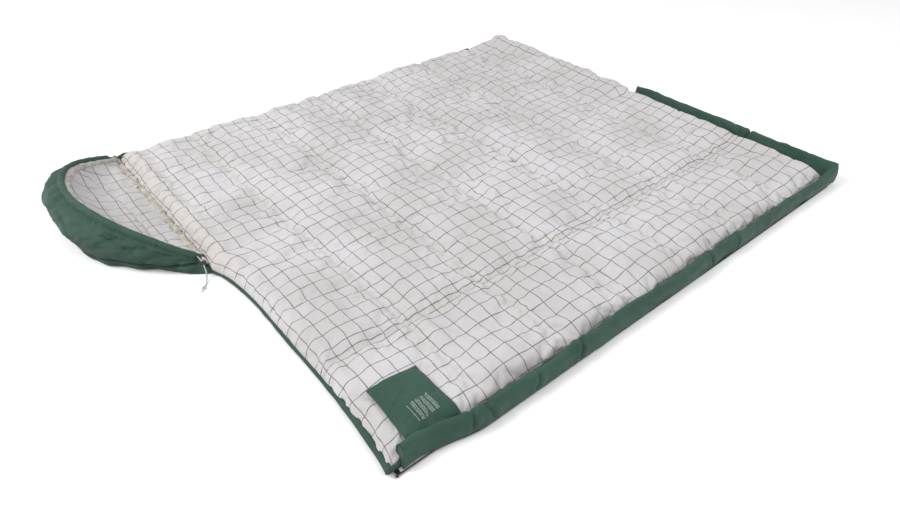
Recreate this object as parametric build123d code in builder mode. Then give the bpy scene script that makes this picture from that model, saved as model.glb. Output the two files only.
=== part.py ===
"""Rectangular sleeping bag with a hood, unzipped and laid out flat.

Two padded halves share a fold along X. The back half carries the hood and the zip slider,
the front half carries the draft tubes and the inner pocket. +X runs to the foot, +Z is up.
"""

from build123d import *
import math
import os

# Driving dimensions, in millimetres
TOTAL_LENGTH = 2320
HOOD_LENGTH = 308
HALF_WIDTH = 928  # from the fold line to the outer edge of the zip coil
FOLD_GAP = 3  # each half stops this far from the fold line
NECK_GAP = 3  # the hood and the back half each stop this far from the neck seam
FRONT_HEAD_DIP = 44  # the front half's head edge curves in by this much
FRONT_HEAD_SETBACK = 13  # and its ends lie this far past the neck seam

SHELL = 2  # outer fabric
LINING = 1.5  # inner fabric
PANEL_TOP = 43  # thickness of a padded half
PAD_INSET = 45  # from the zip coil's outer edge to the foot of the padding
PAD_SLOPE = 40  # the padding's sides lean in by this much over its height

COIL_WIDTH = 6.5
COIL_HEIGHT = 3.4
COIL_BOTTOM = 2.3
TAPE_INSET = 31
TAPE_BOTTOM = 3.4
TAPE = 1.2
BINDING_INSETS = (29, 44)
ZIP_CORNER = 50  # radius of the coil's outer edge at the foot corner
ZIP_START = 45  # from the neck seam to the first tooth
ZIP_END = 12  # from the fold line to the last tooth
STOP_LENGTH = 6
ZIP_END_ROUND = 0.8
ZIP_BOX = (11, 7, 6.4)
ZIP_PIN = (3, 7, 3.4)
ZIP_BOX_GAP = 1  # from the zip box to the end of its half

TUBE_INSETS = (4, 40)
TUBE_BOTTOM = 6
SIDE_TUBE_TOP = 68
FOOT_TUBE_TOP = 75
TUBE_COVER = 1.6
TUBE_HEAD_OVERHANG = 4  # the side tube starts this far before the first tooth
TUBE_CORNER_GAP = 1  # between the side tube and the foot tube
SOFT_GAP = 0.4  # between nested curved layers

POCKET_START = 75  # from the neck seam to the pocket's mouth
POCKET_LENGTH = 153
POCKET_SIDES = (686, 866)  # from the fold line
POCKET_HEIGHT = 8
POCKET_FABRIC = 1.5
POCKET_HEM = 14

HOOD_MIDDLE = 470  # from the fold line to the hood's centre line
HOOD_FLANK = 42  # where the hood's outline, which runs at 45 degrees, meets the neck seam
HOOD_LEAN = 16  # degrees that the hood's wall leans in
HOOD_WALL = 28
RIM_ANGLE = 33
RIM_LOW = 28  # height of the rim at the neck seam
RIM_TIP = 281  # from the neck seam to the rim's tip, measured along the rim's plane
RIM_FLANK = 70  # as HOOD_FLANK, in the rim's plane
RIM_END = 26  # from the neck seam to the ends of the casing, in the rim's plane
CASING_RADIUS = 9
CASING_BORE = 3

CORD_RADIUS = 2
KNOT_RADIUS = 5
LOCK_RADIUS = 7
LOCK_LENGTH = 20
LOCK_BORE = 4.9
LOCK_WALL = 1.5
LOCK_HOLE = 3
BUTTON_RADIUS = 4.6
BUTTON_PROUD = 6
BUTTON_TRAVEL = 3.5
BUTTON_INSIDE = 14.5
LOCK_ROUND = 1
SPRING_WIRE = 0.4

SLIDER_PLACE = 1805  # from the neck seam to the middle of the slider
SLIDER_LENGTH = 30
SLIDER_HEIGHTS = (0.3, 8)
SLIDER_SIDES = (-5.5, 11)  # either side of the coil's centre line
ZIP_CLEARANCE = 0.4
SLIDER_WEB = 1.3
SLIDER_ROUND = 1.4
CROWN_HEIGHTS = (10.6, 12.2)
CROWN_LENGTH = 14
CROWN_WIDTH = 3.5
CROWN_POST = 2.2
CROWN_ROOT = 0.2  # the crown is sunk this far into the slider
PULL_HEIGHT = 9.3
PULL_WIRE = 0.8
PULL_EYE = 13  # length of the pull's eye, which clears the crown when the pull is thrown over
PULL_LENGTH = 38
PULL_WIDTH = 9
PULL_ROUND = 0.75

# Places worked out from them
HEAD_X = HOOD_LENGTH - TOTAL_LENGTH / 2
FOOT_X = TOTAL_LENGTH / 2
UP = (0, 0, 1)
DIAGONAL = math.sqrt(2)
BACK = 1
FRONT = -1

# Route of the drawcord's free end, after the end of the rim casing, in the part's frame
DRAWCORD_POINTS = [
    (-865.0, 73.0, 46.5),
    (-867.0, 47.5, 35.5),
    (-870.0, 34.0, 15.5),
    (-879.0, 21.0, 3.2),
    (-888.0, 6.0, 2.5),
    (-897.0, -3.0, 2.4),
]
KNOT_PLACE = (-899.5, -5.5, 5.0)
CORD_TAIL_END = (-911.0, -16.0, 2.3)


def save(part, name):
    """Labels a finished piece and writes its STEP file."""
    part.label = name
    export_step(part, f"parts/{name}.step")


def half_face(inset, height, head_x, fold_y, head_dip=0.0):
    """The back half's outline at a height, inset from the zip coil's outer edge."""
    foot_x = FOOT_X - inset
    outer_y = HALF_WIDTH - inset
    radius = max(ZIP_CORNER - inset, 4)
    corner_middle = radius * (1 - 1 / DIAGONAL)
    with BuildSketch(Plane.XY.offset(height)) as face:
        with BuildLine():
            Line((head_x, fold_y), (foot_x, fold_y))
            Line((foot_x, fold_y), (foot_x, outer_y - radius))
            ThreePointArc(
                (foot_x, outer_y - radius),
                (foot_x - corner_middle, outer_y - corner_middle),
                (foot_x - radius, outer_y),
            )
            Line((foot_x - radius, outer_y), (head_x, outer_y))
            if head_dip:
                middle = (head_x + head_dip, (outer_y + fold_y) / 2)
                ThreePointArc((head_x, outer_y), middle, (head_x, fold_y))
            else:
                Line((head_x, outer_y), (head_x, fold_y))
        make_face()
    return face.sketch


def edge_band(insets, bottom, height):
    """A strip that follows the zip along the back half's outer side and foot."""
    outer, inner = (half_face(i, bottom, HEAD_X + ZIP_START, ZIP_END) for i in insets)
    with BuildPart() as band:
        extrude(outer, amount=height)
        extrude(inner, amount=height, mode=Mode.SUBTRACT)
    return band.part


def shell_sheet(head_x, head_dip):
    """Outer fabric of the back half, flat on the ground."""
    with BuildPart() as sheet:
        extrude(half_face(BINDING_INSETS[0], 0, head_x, FOLD_GAP, head_dip), amount=SHELL)
    return sheet.part


def pad_block(head_x, head_dip, shrink, bottom, top):
    """Padded block whose sides slope in with height, cut square at the fold."""
    slope = math.degrees(math.atan(PAD_SLOPE / (PANEL_TOP - SHELL)))
    past_fold = -2 * PAD_SLOPE
    outline = half_face(PAD_INSET + shrink, bottom, head_x + shrink, past_fold, head_dip)
    with BuildPart() as block:
        extrude(outline, amount=top - bottom, taper=slope)
        split(bisect_by=Plane.XZ.offset(-FOLD_GAP), keep=Keep.BOTTOM)
    return block.part


def zip_end_piece(x_centre, y_centre, size):
    """A stop, box or pin that ends a zip coil."""
    middle = COIL_BOTTOM + COIL_HEIGHT / 2
    with BuildPart() as piece:
        with Locations((x_centre, y_centre, middle)):
            Box(*size)
        fillet(piece.edges().filter_by(Axis.Z), ZIP_END_ROUND)
    return piece.part


def save_on_side(part, name, side):
    """Saves a piece drawn on the back half, mirrored in the fold if it belongs to the front."""
    if side == FRONT:
        part = mirror(part, about=Plane.XZ)
    save(part, name)


def make_half(side, name):
    """The layers and the half zip of one half."""
    if side == BACK:
        head = (HEAD_X + NECK_GAP, 0.0)
    else:
        head = (HEAD_X + FRONT_HEAD_SETBACK, FRONT_HEAD_DIP)
    insulation = pad_block(*head, LINING, SHELL, PANEL_TOP - LINING)
    outside = pad_block(*head, 0, SHELL, PANEL_TOP)
    with BuildPart() as lining:
        add(outside)
        add(insulation, mode=Mode.SUBTRACT)
    stop_place = (HEAD_X + ZIP_START - STOP_LENGTH / 2, HALF_WIDTH - COIL_WIDTH / 2)
    stop_size = (STOP_LENGTH, COIL_WIDTH, COIL_HEIGHT)
    pieces = {
        "outer_shell": shell_sheet(*head),
        "insulation": insulation,
        "lining": lining.part,
        "edge_binding": edge_band(BINDING_INSETS, SHELL, TAPE_BOTTOM - SHELL),
        "zip_tape": edge_band((COIL_WIDTH, TAPE_INSET), TAPE_BOTTOM, TAPE),
        "zip_coil": edge_band((0, COIL_WIDTH), COIL_BOTTOM, COIL_HEIGHT),
        "zip_top_stop": zip_end_piece(*stop_place, stop_size),
    }
    for piece, part in pieces.items():
        save_on_side(part, f"{name}_{piece}", side)


def tube_section(plane, width, height):
    """Oval section of a draft tube in its own sketch."""
    with BuildSketch(plane) as section:
        RectangleRounded(width, height, width / 2 - 1)
    return section.sketch


def draft_tube(name, start, length, direction, top):
    """A fabric tube with its filling, from start along direction."""
    width = TUBE_INSETS[1] - TUBE_INSETS[0]
    height = top - TUBE_BOTTOM
    across = Vector(*direction).cross(Vector(*UP))
    inner = TUBE_COVER + SOFT_GAP
    forward = Vector(*direction)
    outer_plane = Plane(origin=start, x_dir=across, z_dir=direction)
    wall_plane = outer_plane.offset(TUBE_COVER)
    core_plane = outer_plane.offset(inner)
    outside = tube_section(outer_plane, width, height)
    inside = tube_section(wall_plane, width - 2 * TUBE_COVER, height - 2 * TUBE_COVER)
    core = tube_section(core_plane, width - 2 * inner, height - 2 * inner)
    with BuildPart() as cover:
        extrude(outside, amount=length, dir=forward)
        extrude(inside, amount=length - 2 * TUBE_COVER, dir=forward, mode=Mode.SUBTRACT)
    with BuildPart() as filling:
        extrude(core, amount=length - 2 * inner, dir=forward)
    save(cover.part, f"{name}_cover")
    save(filling.part, f"{name}_filling")


def make_draft_tubes():
    """The two padded tubes that cover the zip inside the bag, on the front half."""
    middle = (TUBE_INSETS[0] + TUBE_INSETS[1]) / 2
    width = TUBE_INSETS[1] - TUBE_INSETS[0]
    side_z = (TUBE_BOTTOM + SIDE_TUBE_TOP) / 2
    foot_z = (TUBE_BOTTOM + FOOT_TUBE_TOP) / 2
    side_start = (HEAD_X + ZIP_START - TUBE_HEAD_OVERHANG, -(HALF_WIDTH - middle), side_z)
    side_end = FOOT_X - TUBE_INSETS[0] - width - TUBE_CORNER_GAP
    draft_tube("side_draft_tube", side_start, side_end - side_start[0], (1, 0, 0), SIDE_TUBE_TOP)
    foot_start = (FOOT_X - middle, -(HALF_WIDTH - TUBE_INSETS[0]), foot_z)
    foot_length = HALF_WIDTH - TUBE_INSETS[0] - FOLD_GAP
    draft_tube("foot_draft_tube", foot_start, foot_length, (0, 1, 0), FOOT_TUBE_TOP)


def make_pocket():
    """Flat pocket on the lining, open towards the head, and its hem."""
    low_y, high_y = POCKET_SIDES
    start_x = HEAD_X + POCKET_START
    centre = (start_x + POCKET_LENGTH / 2, -(low_y + high_y) / 2)
    width = high_y - low_y
    with BuildPart() as pocket:
        with BuildSketch(Plane.XY.offset(PANEL_TOP)):
            with Locations(centre):
                Rectangle(POCKET_LENGTH, width)
        extrude(amount=POCKET_HEIGHT)
        with BuildSketch(Plane.XY.offset(PANEL_TOP)):
            with Locations((centre[0] - POCKET_FABRIC, centre[1])):
                Rectangle(POCKET_LENGTH, width - 2 * POCKET_FABRIC)
        extrude(amount=POCKET_HEIGHT - POCKET_FABRIC, mode=Mode.SUBTRACT)
    with BuildPart() as hem:
        with BuildSketch(Plane.XY.offset(PANEL_TOP + POCKET_HEIGHT)):
            with Locations((start_x + POCKET_HEM / 2, centre[1])):
                Rectangle(POCKET_HEM, width)
        extrude(amount=POCKET_FABRIC)
    save(pocket.part, "inner_pocket")
    save(hem.part, "inner_pocket_hem")


def tip_radius(tip, flank):
    """Radius of the arc at the hood's tip, tangent to flanks at 45 degrees."""
    return (HOOD_MIDDLE - tip - flank) / (DIAGONAL - 1)


def hood_curve(tip, flank, origin_x, end_x):
    """Flank, tip arc and flank in the current line, symmetrical about the hood's middle."""
    radius = tip_radius(tip, flank)
    centre_x = origin_x + radius - tip
    reach = radius / DIAGONAL
    left = (centre_x - reach, HOOD_MIDDLE - reach)
    right = (centre_x - reach, HOOD_MIDDLE + reach)
    flank_y = flank - (end_x - origin_x)
    Line((end_x, 2 * HOOD_MIDDLE - flank_y), right)
    ThreePointArc(right, (origin_x - tip, HOOD_MIDDLE), left)
    Line(left, (end_x, flank_y))


RIM_PLANE = Plane(
    origin=(HEAD_X, 0, RIM_LOW),
    x_dir=(math.cos(math.radians(RIM_ANGLE)), 0, -math.sin(math.radians(RIM_ANGLE))),
    z_dir=(math.sin(math.radians(RIM_ANGLE)), 0, math.cos(math.radians(RIM_ANGLE))),
)
NECK_PLANE = Plane(origin=(HEAD_X - NECK_GAP, 0, 0), z_dir=(1, 0, 0))


def hood_block(depth, floor):
    """Solid of the hood, inset by depth and standing on floor, cut at the rim and the neck."""
    past_neck = 60
    tall = 260
    with BuildPart() as block:
        with BuildSketch(Plane.XY.offset(floor)):
            with BuildLine():
                inset = depth + floor * math.tan(math.radians(HOOD_LEAN))
                flank = HOOD_FLANK + inset * DIAGONAL
                hood_curve(HOOD_LENGTH - inset, flank, HEAD_X, HEAD_X + past_neck)
                end_y = flank - past_neck
                Line((HEAD_X + past_neck, end_y), (HEAD_X + past_neck, 2 * HOOD_MIDDLE - end_y))
            make_face()
        extrude(amount=tall, taper=HOOD_LEAN)
        split(bisect_by=RIM_PLANE, keep=Keep.BOTTOM)
        split(bisect_by=NECK_PLANE, keep=Keep.BOTTOM)
    return block.part


def hollow(outer, inner, name):
    """One layer of the hood: outer with inner taken out."""
    with BuildPart() as layer:
        add(outer)
        add(inner, mode=Mode.SUBTRACT)
    save(layer.part, name)


def make_hood():
    """Three layers of the hood, from the outside in."""
    wadding_out = SHELL + SOFT_GAP
    wadding_in = HOOD_WALL
    lining_out = HOOD_WALL + SOFT_GAP
    lining_in = lining_out + LINING
    hollow(hood_block(0, 0), hood_block(SHELL, SHELL), "hood_outer_shell")
    hollow(
        hood_block(wadding_out, wadding_out), hood_block(wadding_in, wadding_in), "hood_insulation"
    )
    hollow(hood_block(lining_out, lining_out), hood_block(lining_in, lining_in), "hood_lining")


def make_rim():
    """Casing round the hood's rim, with the drawcord inside; returns the near end of the cord."""
    casing_plane = RIM_PLANE.offset(CASING_RADIUS + SOFT_GAP)
    with BuildLine(casing_plane) as path:
        hood_curve(RIM_TIP, RIM_FLANK, 0, -RIM_END)
    route = path.wire()
    start_plane = Plane(origin=route @ 0, z_dir=route % 0)
    with BuildPart() as casing:
        with BuildSketch(start_plane):
            Circle(CASING_RADIUS)
            Circle(CASING_BORE, mode=Mode.SUBTRACT)
        sweep(path=route)
    with BuildPart() as inner_cord:
        with BuildSketch(start_plane):
            Circle(CORD_RADIUS)
        sweep(path=route)
    save(casing.part, "hood_rim_casing")
    save(inner_cord.part, "hood_inner_drawcord")
    return route @ 1


def arc_radii(points):
    """Radius at each inner point: 0.45 of its shorter run over the tangent of half the turn."""
    radii = []
    for before, here, after in zip(points, points[1:], points[2:]):
        come = here - before
        leave = after - here
        half_turn = math.radians(come.get_angle(leave) / 2)
        radii.append(0.45 * min(come.length, leave.length) / math.tan(half_turn))
    return radii


def make_drawcord(exit_point):
    """Free end of the drawcord and the knot on it."""
    points = [Vector(exit_point)] + [Vector(*p) for p in DRAWCORD_POINTS]
    radii = arc_radii(points)
    print("drawcord starts at", [round(v, 2) for v in exit_point])
    print("drawcord radii", [round(r, 1) for r in radii])
    with BuildLine() as route:
        FilletPolyline(*points, radius=radii)
    path = route.wire()
    with BuildPart() as cord:
        with BuildSketch(Plane(origin=path @ 0, z_dir=path % 0)):
            Circle(CORD_RADIUS)
        sweep(path=path)
    expected = math.pi * CORD_RADIUS**2 * path.length
    print("drawcord length", round(path.length, 1))
    print("volume over section times length", round(cord.part.volume / expected, 4))
    with BuildPart() as knot:
        with Locations(KNOT_PLACE):
            Sphere(KNOT_RADIUS)
        with BuildLine() as tail:
            Line(KNOT_PLACE, CORD_TAIL_END)
        with BuildSketch(Plane(origin=tail.line @ 0, z_dir=tail.line % 0)):
            Circle(CORD_RADIUS)
        sweep(path=tail.line)
    save(cord.part, "drawcord_end")
    save(knot.part, "drawcord_knot")


def lock_disc(plane, height, radius, hole=0.0):
    """A circle or a ring across the cord lock's barrel."""
    with BuildSketch(plane.offset(height)) as disc:
        Circle(radius)
        if hole:
            Circle(hole, mode=Mode.SUBTRACT)
    return disc.sketch


def make_cord_lock():
    """Barrel, sprung button and spring of the cord lock, which the cord crosses."""
    above = Vector(*DRAWCORD_POINTS[0])
    below = Vector(*DRAWCORD_POINTS[1])
    cord_way = (below - above).normalized()
    barrel_way = Vector(*UP).cross(cord_way).normalized()
    if barrel_way.X > 0:
        barrel_way = -barrel_way
    print("button moves along", [round(-v, 5) for v in barrel_way])
    centre = (above + below) / 2
    plane = Plane(origin=centre, x_dir=cord_way, z_dir=barrel_way)
    cord_plane = Plane(origin=centre, x_dir=barrel_way, z_dir=cord_way)
    foot = -LOCK_LENGTH / 2
    seat = foot + LOCK_WALL
    button_foot = LOCK_LENGTH / 2 - BUTTON_INSIDE
    with BuildPart() as barrel:
        extrude(lock_disc(plane, foot, LOCK_RADIUS), amount=LOCK_LENGTH)
        fillet(barrel.edges(), LOCK_ROUND)
        extrude(lock_disc(plane, seat, LOCK_BORE), amount=LOCK_LENGTH, mode=Mode.SUBTRACT)
        with BuildSketch(cord_plane):
            Circle(LOCK_HOLE)
        extrude(amount=2 * LOCK_RADIUS, both=True, mode=Mode.SUBTRACT)
    with BuildPart() as button:
        button_length = BUTTON_INSIDE + BUTTON_PROUD
        extrude(lock_disc(plane, button_foot, BUTTON_RADIUS), amount=button_length)
        fillet(button.edges().sort_by(Axis(centre, barrel_way))[-1], LOCK_ROUND)
        with BuildSketch(cord_plane):
            with Locations((BUTTON_TRAVEL / 2, 0)):
                SlotCenterToCenter(BUTTON_TRAVEL, 2 * LOCK_HOLE)
        extrude(amount=2 * LOCK_RADIUS, both=True, mode=Mode.SUBTRACT)
    spring_radius = LOCK_BORE - 2 * SPRING_WIRE
    spring_section = lock_disc(plane, seat, spring_radius, spring_radius - SPRING_WIRE)
    with BuildPart() as spring:
        extrude(spring_section, amount=button_foot - seat)
    save(barrel.part, "cord_lock_barrel")
    save(button.part, "cord_lock_button")
    save(spring.part, "cord_lock_spring")


def slider_profile(plane):
    """Section of the slider: two channels for coils, each with a slit for its tape."""
    low, high = SLIDER_HEIGHTS
    inner, outer = SLIDER_SIDES
    coil_middle = COIL_BOTTOM + COIL_HEIGHT / 2
    channel = COIL_WIDTH / 2 + ZIP_CLEARANCE
    channel_height = COIL_HEIGHT + 2 * ZIP_CLEARANCE
    slit_height = TAPE + 2 * ZIP_CLEARANCE
    spare_start = channel + SLIDER_WEB
    spare_end = outer - ZIP_CLEARANCE - SLIDER_WEB
    to_low_side = (Align.MAX, Align.CENTER)
    to_high_side = (Align.MIN, Align.CENTER)
    with BuildSketch(plane) as profile:
        with Locations(((inner + outer) / 2, (low + high) / 2)):
            RectangleRounded(outer - inner, high - low, SLIDER_ROUND)
        with Locations((0, coil_middle)):
            Rectangle(2 * channel, channel_height, mode=Mode.SUBTRACT)
            Rectangle(-2 * inner, slit_height, align=to_low_side, mode=Mode.SUBTRACT)
        with Locations(((spare_start + spare_end) / 2, coil_middle)):
            Rectangle(spare_end - spare_start, channel_height, mode=Mode.SUBTRACT)
        with Locations((spare_end, coil_middle)):
            Rectangle(outer, slit_height, align=to_high_side, mode=Mode.SUBTRACT)
    return profile.sketch


def make_slider():
    """Zip slider on the back half's coil, and its pull, which swings on the crown."""
    middle_x = HEAD_X + SLIDER_PLACE
    coil_y = HALF_WIDTH - COIL_WIDTH / 2
    top = SLIDER_HEIGHTS[1]
    section_start = (middle_x - SLIDER_LENGTH / 2, coil_y, 0)
    section_plane = Plane(origin=section_start, x_dir=(0, 1, 0), z_dir=(1, 0, 0))
    crown_y = coil_y + (SLIDER_SIDES[0] + SLIDER_SIDES[1]) / 2
    crown_low, crown_high = CROWN_HEIGHTS
    crown_plane = Plane(origin=(middle_x, crown_y, 0), x_dir=(1, 0, 0), z_dir=(0, 1, 0))
    with BuildPart() as slider:
        extrude(slider_profile(section_plane), amount=SLIDER_LENGTH)
        with BuildSketch(crown_plane):
            with Locations((0, -(top - CROWN_ROOT + crown_high) / 2)):
                Rectangle(CROWN_LENGTH, crown_high - top + CROWN_ROOT)
            with Locations((0, -(top + crown_low) / 2)):
                Rectangle(CROWN_LENGTH - 2 * CROWN_POST, crown_low - top, mode=Mode.SUBTRACT)
        extrude(amount=CROWN_WIDTH / 2, both=True)
    pin_x = middle_x - CROWN_LENGTH / 2 + CROWN_POST + PULL_WIRE + ZIP_CLEARANCE
    print("pull turns about x, z", round(pin_x, 2), PULL_HEIGHT, "at y", round(crown_y, 2))
    behind = (Align.MAX, Align.CENTER)
    with BuildPart() as pull:
        with BuildSketch(Plane.XY.offset(PULL_HEIGHT)):
            with Locations((pin_x + PULL_WIRE, crown_y)):
                Rectangle(PULL_LENGTH, PULL_WIDTH, align=behind)
            with Locations((pin_x - PULL_WIRE, crown_y)):
                Rectangle(PULL_EYE, PULL_WIDTH - 4 * PULL_WIRE, align=behind, mode=Mode.SUBTRACT)
        extrude(amount=PULL_WIRE, both=True)
        fillet(pull.edges().filter_by(Axis.Y), PULL_ROUND)
    save(slider.part, "zip_slider")
    save(pull.part, "zip_slider_pull")


def make_zip_ends():
    """Box and pin that let the two half zips part at the fold's foot end."""
    x_place = FOOT_X - COIL_WIDTH / 2
    y_place = FOLD_GAP + ZIP_BOX_GAP + ZIP_BOX[1] / 2
    save_on_side(zip_end_piece(x_place, y_place, ZIP_BOX), "front_zip_box", FRONT)
    save_on_side(zip_end_piece(x_place, y_place, ZIP_PIN), "back_zip_pin", BACK)


def main():
    """Makes every piece."""
    os.makedirs("parts", exist_ok=True)
    make_half(BACK, "back")
    make_half(FRONT, "front")
    make_zip_ends()
    make_draft_tubes()
    make_pocket()
    make_hood()
    make_drawcord(make_rim())
    make_cord_lock()
    make_slider()


main()
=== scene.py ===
import math

import bpy
import numpy as np
from mathutils import Matrix, Vector


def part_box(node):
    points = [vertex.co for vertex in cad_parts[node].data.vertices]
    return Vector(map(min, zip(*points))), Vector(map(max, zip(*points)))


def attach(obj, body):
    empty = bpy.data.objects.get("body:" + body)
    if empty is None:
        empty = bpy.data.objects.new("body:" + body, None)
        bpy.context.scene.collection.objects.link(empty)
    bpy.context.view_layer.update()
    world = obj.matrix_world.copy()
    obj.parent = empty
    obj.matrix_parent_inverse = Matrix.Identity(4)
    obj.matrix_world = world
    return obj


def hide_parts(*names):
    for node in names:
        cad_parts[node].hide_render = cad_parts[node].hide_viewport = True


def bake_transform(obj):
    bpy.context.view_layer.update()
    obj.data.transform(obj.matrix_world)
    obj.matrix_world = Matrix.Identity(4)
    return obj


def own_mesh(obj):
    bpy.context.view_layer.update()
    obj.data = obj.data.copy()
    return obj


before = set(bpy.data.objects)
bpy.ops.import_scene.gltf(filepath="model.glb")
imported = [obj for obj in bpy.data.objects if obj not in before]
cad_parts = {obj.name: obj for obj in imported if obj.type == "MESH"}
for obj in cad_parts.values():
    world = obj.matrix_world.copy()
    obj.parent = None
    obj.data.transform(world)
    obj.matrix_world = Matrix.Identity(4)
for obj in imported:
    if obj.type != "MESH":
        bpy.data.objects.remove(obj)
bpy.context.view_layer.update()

# Metres, in the frame's axes: the neck seam is at HEAD, the fold is at y = 0.
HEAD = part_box("back_lining")[0].x - 0.003
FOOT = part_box("back_zip_coil")[1].x
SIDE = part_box("back_zip_coil")[1].y
PAD_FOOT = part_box("front_lining")[1].x
PAD_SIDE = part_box("back_lining")[1].y
PAD_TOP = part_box("back_lining")[1].z
# The fold and the neck: the two bodies on each side, and where a bend there starts and ends; tie only fixes
# a piece given one of these in place.
FOLD = ("back_half", "front_half", (0, 0, 0), (0, -0.16, 0))
NECK = ("back_half", "hood", (HEAD + 0.022, 0, 0), (HEAD - 0.036, 0, 0))


# ---------------------------------------------------------------- camera and drawcord

def make_camera():
    """Camera at the reference view: above the near head corner, looking along the bag."""
    data = bpy.data.cameras.new("camera")
    data.sensor_width = 36
    data.lens = 26.85
    data.clip_start = 0.05
    data.clip_end = 50
    camera = bpy.data.objects.new("camera", data)
    yaw, pitch, roll = (math.radians(a) for a in (50.0, 38.1, 0.4))
    forward = Vector((math.cos(pitch) * math.cos(yaw), math.cos(pitch) * math.sin(yaw), -math.sin(pitch)))
    level = Vector((math.sin(yaw), -math.cos(yaw), 0))
    above = level.cross(forward)
    right = level * math.cos(roll) + above * math.sin(roll)
    up = above * math.cos(roll) - level * math.sin(roll)
    turn = Matrix((right, up, -forward)).transposed().to_4x4()
    camera.matrix_world = Matrix.Translation((-1.312, -1.65, 1.34)) @ turn
    bpy.context.scene.collection.objects.link(camera)
    bpy.context.scene.camera = camera


CORD_POINTS = [
    (-0.86869, 0.0960, 0.05004),
    (-0.8650, 0.0730, 0.0465),
    (-0.8670, 0.0475, 0.0355),
    (-0.8700, 0.0340, 0.0155),
    (-0.8790, 0.0210, 0.0032),
    (-0.8880, 0.0060, 0.0025),
    (-0.8970, -0.0030, 0.0024),
]
CORD_RADIUS = 0.002


def nurbs_cord(name, points, radius):
    """Round cord along one smooth spline."""
    curve = bpy.data.curves.new(name, "CURVE")
    curve.dimensions = "3D"
    curve.bevel_depth = radius
    curve.bevel_resolution = 4
    curve.use_fill_caps = True
    spline = curve.splines.new("NURBS")
    spline.points.add(len(points) - 1)
    for place, point in zip(spline.points, points):
        place.co = (*point, 1)
    spline.order_u = 3
    spline.use_endpoint_u = True
    spline.resolution_u = 12
    cord = bpy.data.objects.new(name, curve)
    bpy.context.scene.collection.objects.link(cord)
    return cord


make_camera()
drawcord = nurbs_cord("drawcord", CORD_POINTS, CORD_RADIUS)


# ---------------------------------------------------------------- numbers and meshes

UP = np.array((0, 0, 1.0))


def noise(u, v, size, seed):
    """Smooth noise from -1 to 1 with bumps about size across."""
    cells = 128
    table = np.random.default_rng(seed).uniform(-1, 1, (cells, cells))
    gu, gv = np.asarray(u) / size + 37.3, np.asarray(v) / size + 11.7
    iu, iv = np.floor(gu).astype(int), np.floor(gv).astype(int)
    fu, fv = gu - iu, gv - iv
    fu, fv = fu * fu * (3 - 2 * fu), fv * fv * (3 - 2 * fv)
    a, b = table[iu % cells, iv % cells], table[(iu + 1) % cells, iv % cells]
    c, d = table[iu % cells, (iv + 1) % cells], table[(iu + 1) % cells, (iv + 1) % cells]
    return (a * (1 - fu) + b * fu) * (1 - fv) + (c * (1 - fu) + d * fu) * fv


def wave(u, size, seed):
    """The same noise along one coordinate."""
    return noise(u, 0 * u, size, seed)


def hill(d, width):
    """1 at d = 0, falling smoothly to 0 over about twice the width."""
    return np.exp(-((d / width) ** 2))


def arch(x):
    """0 at 0 and at 1, and 1 half way between them."""
    return np.sin(np.pi * x)


def step(x, low, high):
    """0 below low, 1 above high, smooth between them."""
    t = np.clip((x - low) / (high - low), 0, 1)
    return t * t * (3 - 2 * t)


def rumple(x, y, size, seed):
    """Uneven height like rumpled cloth, about -1 to 1: soft waves, and creases between puffs."""
    total = 0 * x
    layers = ((0.6, 1.0, 25), (0.4, 0.55, 70), (0.25, 0.3, 130))
    for number, (share, scale, degrees) in enumerate(layers):
        turn = math.radians(degrees)
        u = x * math.cos(turn) - y * math.sin(turn)
        u += 0.3 * size * noise(x, y, size * 1.4, seed + 40 + number)
        v = x * math.sin(turn) + y * math.cos(turn)
        puffs = np.abs(noise(u, v, size * scale * 1.3, seed + 20 + number)) - 0.33
        total += share * (0.6 * noise(u, v, size * scale, seed + number) + 0.9 * puffs)
    return total


def through(stations, values, at):
    """Smooth curve through values given at stations, read at the places at."""
    stations, values, at = (np.asarray(a, float) for a in (stations, values, at))
    if values.ndim == 1:
        values = values[:, None]
    slope = np.gradient(values, stations, axis=0)
    i = np.clip(np.searchsorted(stations, at, side="right") - 1, 0, len(stations) - 2)
    gap = (stations[i + 1] - stations[i])[:, None]
    t = (at - stations[i])[:, None] / gap
    first = (2 * t**3 - 3 * t**2 + 1) * values[i] + (t**3 - 2 * t**2 + t) * gap * slope[i]
    last = (3 * t**2 - 2 * t**3) * values[i + 1] + (t**3 - t**2) * gap * slope[i + 1]
    return np.squeeze(first + last)


def along(points):
    """Distance along a row of points, from its first."""
    return np.concatenate([[0], np.cumsum(np.linalg.norm(np.diff(points, axis=0), axis=1))])


def even(points, count):
    """The same row of points with an even spacing."""
    travelled = along(points)
    return through(travelled, points, np.linspace(0, travelled[-1], count))


def grid_faces(rows, columns, start=0, flip=False, wrap=False):
    """Faces of a grid of points stored row by row."""
    across = columns if wrap else columns - 1
    r, c = np.meshgrid(np.arange(rows - 1), np.arange(across), indexing="ij")
    d = (c + 1) % columns
    corners = [r * columns + c, (r + 1) * columns + c, (r + 1) * columns + d, r * columns + d]
    faces = np.stack(corners, -1).reshape(-1, 4) + start
    return faces[:, ::-1] if flip else faces


def border(rows, columns):
    """Point numbers round a grid, the same way round as its faces."""
    first = [r * columns for r in range(rows)]
    last = [(rows - 1) * columns + c for c in range(1, columns)]
    back = [r * columns + columns - 1 for r in range(rows - 2, -1, -1)]
    return np.array(first + last + back + [c for c in range(columns - 2, 0, -1)])


def slab_faces(rows, columns, start=0):
    """Faces of a slab: a grid of points, the same grid a thickness below it, and the rim between them."""
    ring = border(rows, columns) + start
    ahead = np.roll(ring, -1)
    below = rows * columns
    rim = np.stack([ring + below, ahead + below, ahead, ring], 1)
    return [grid_faces(rows, columns, start), grid_faces(rows, columns, start + below, flip=True), rim]


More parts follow.
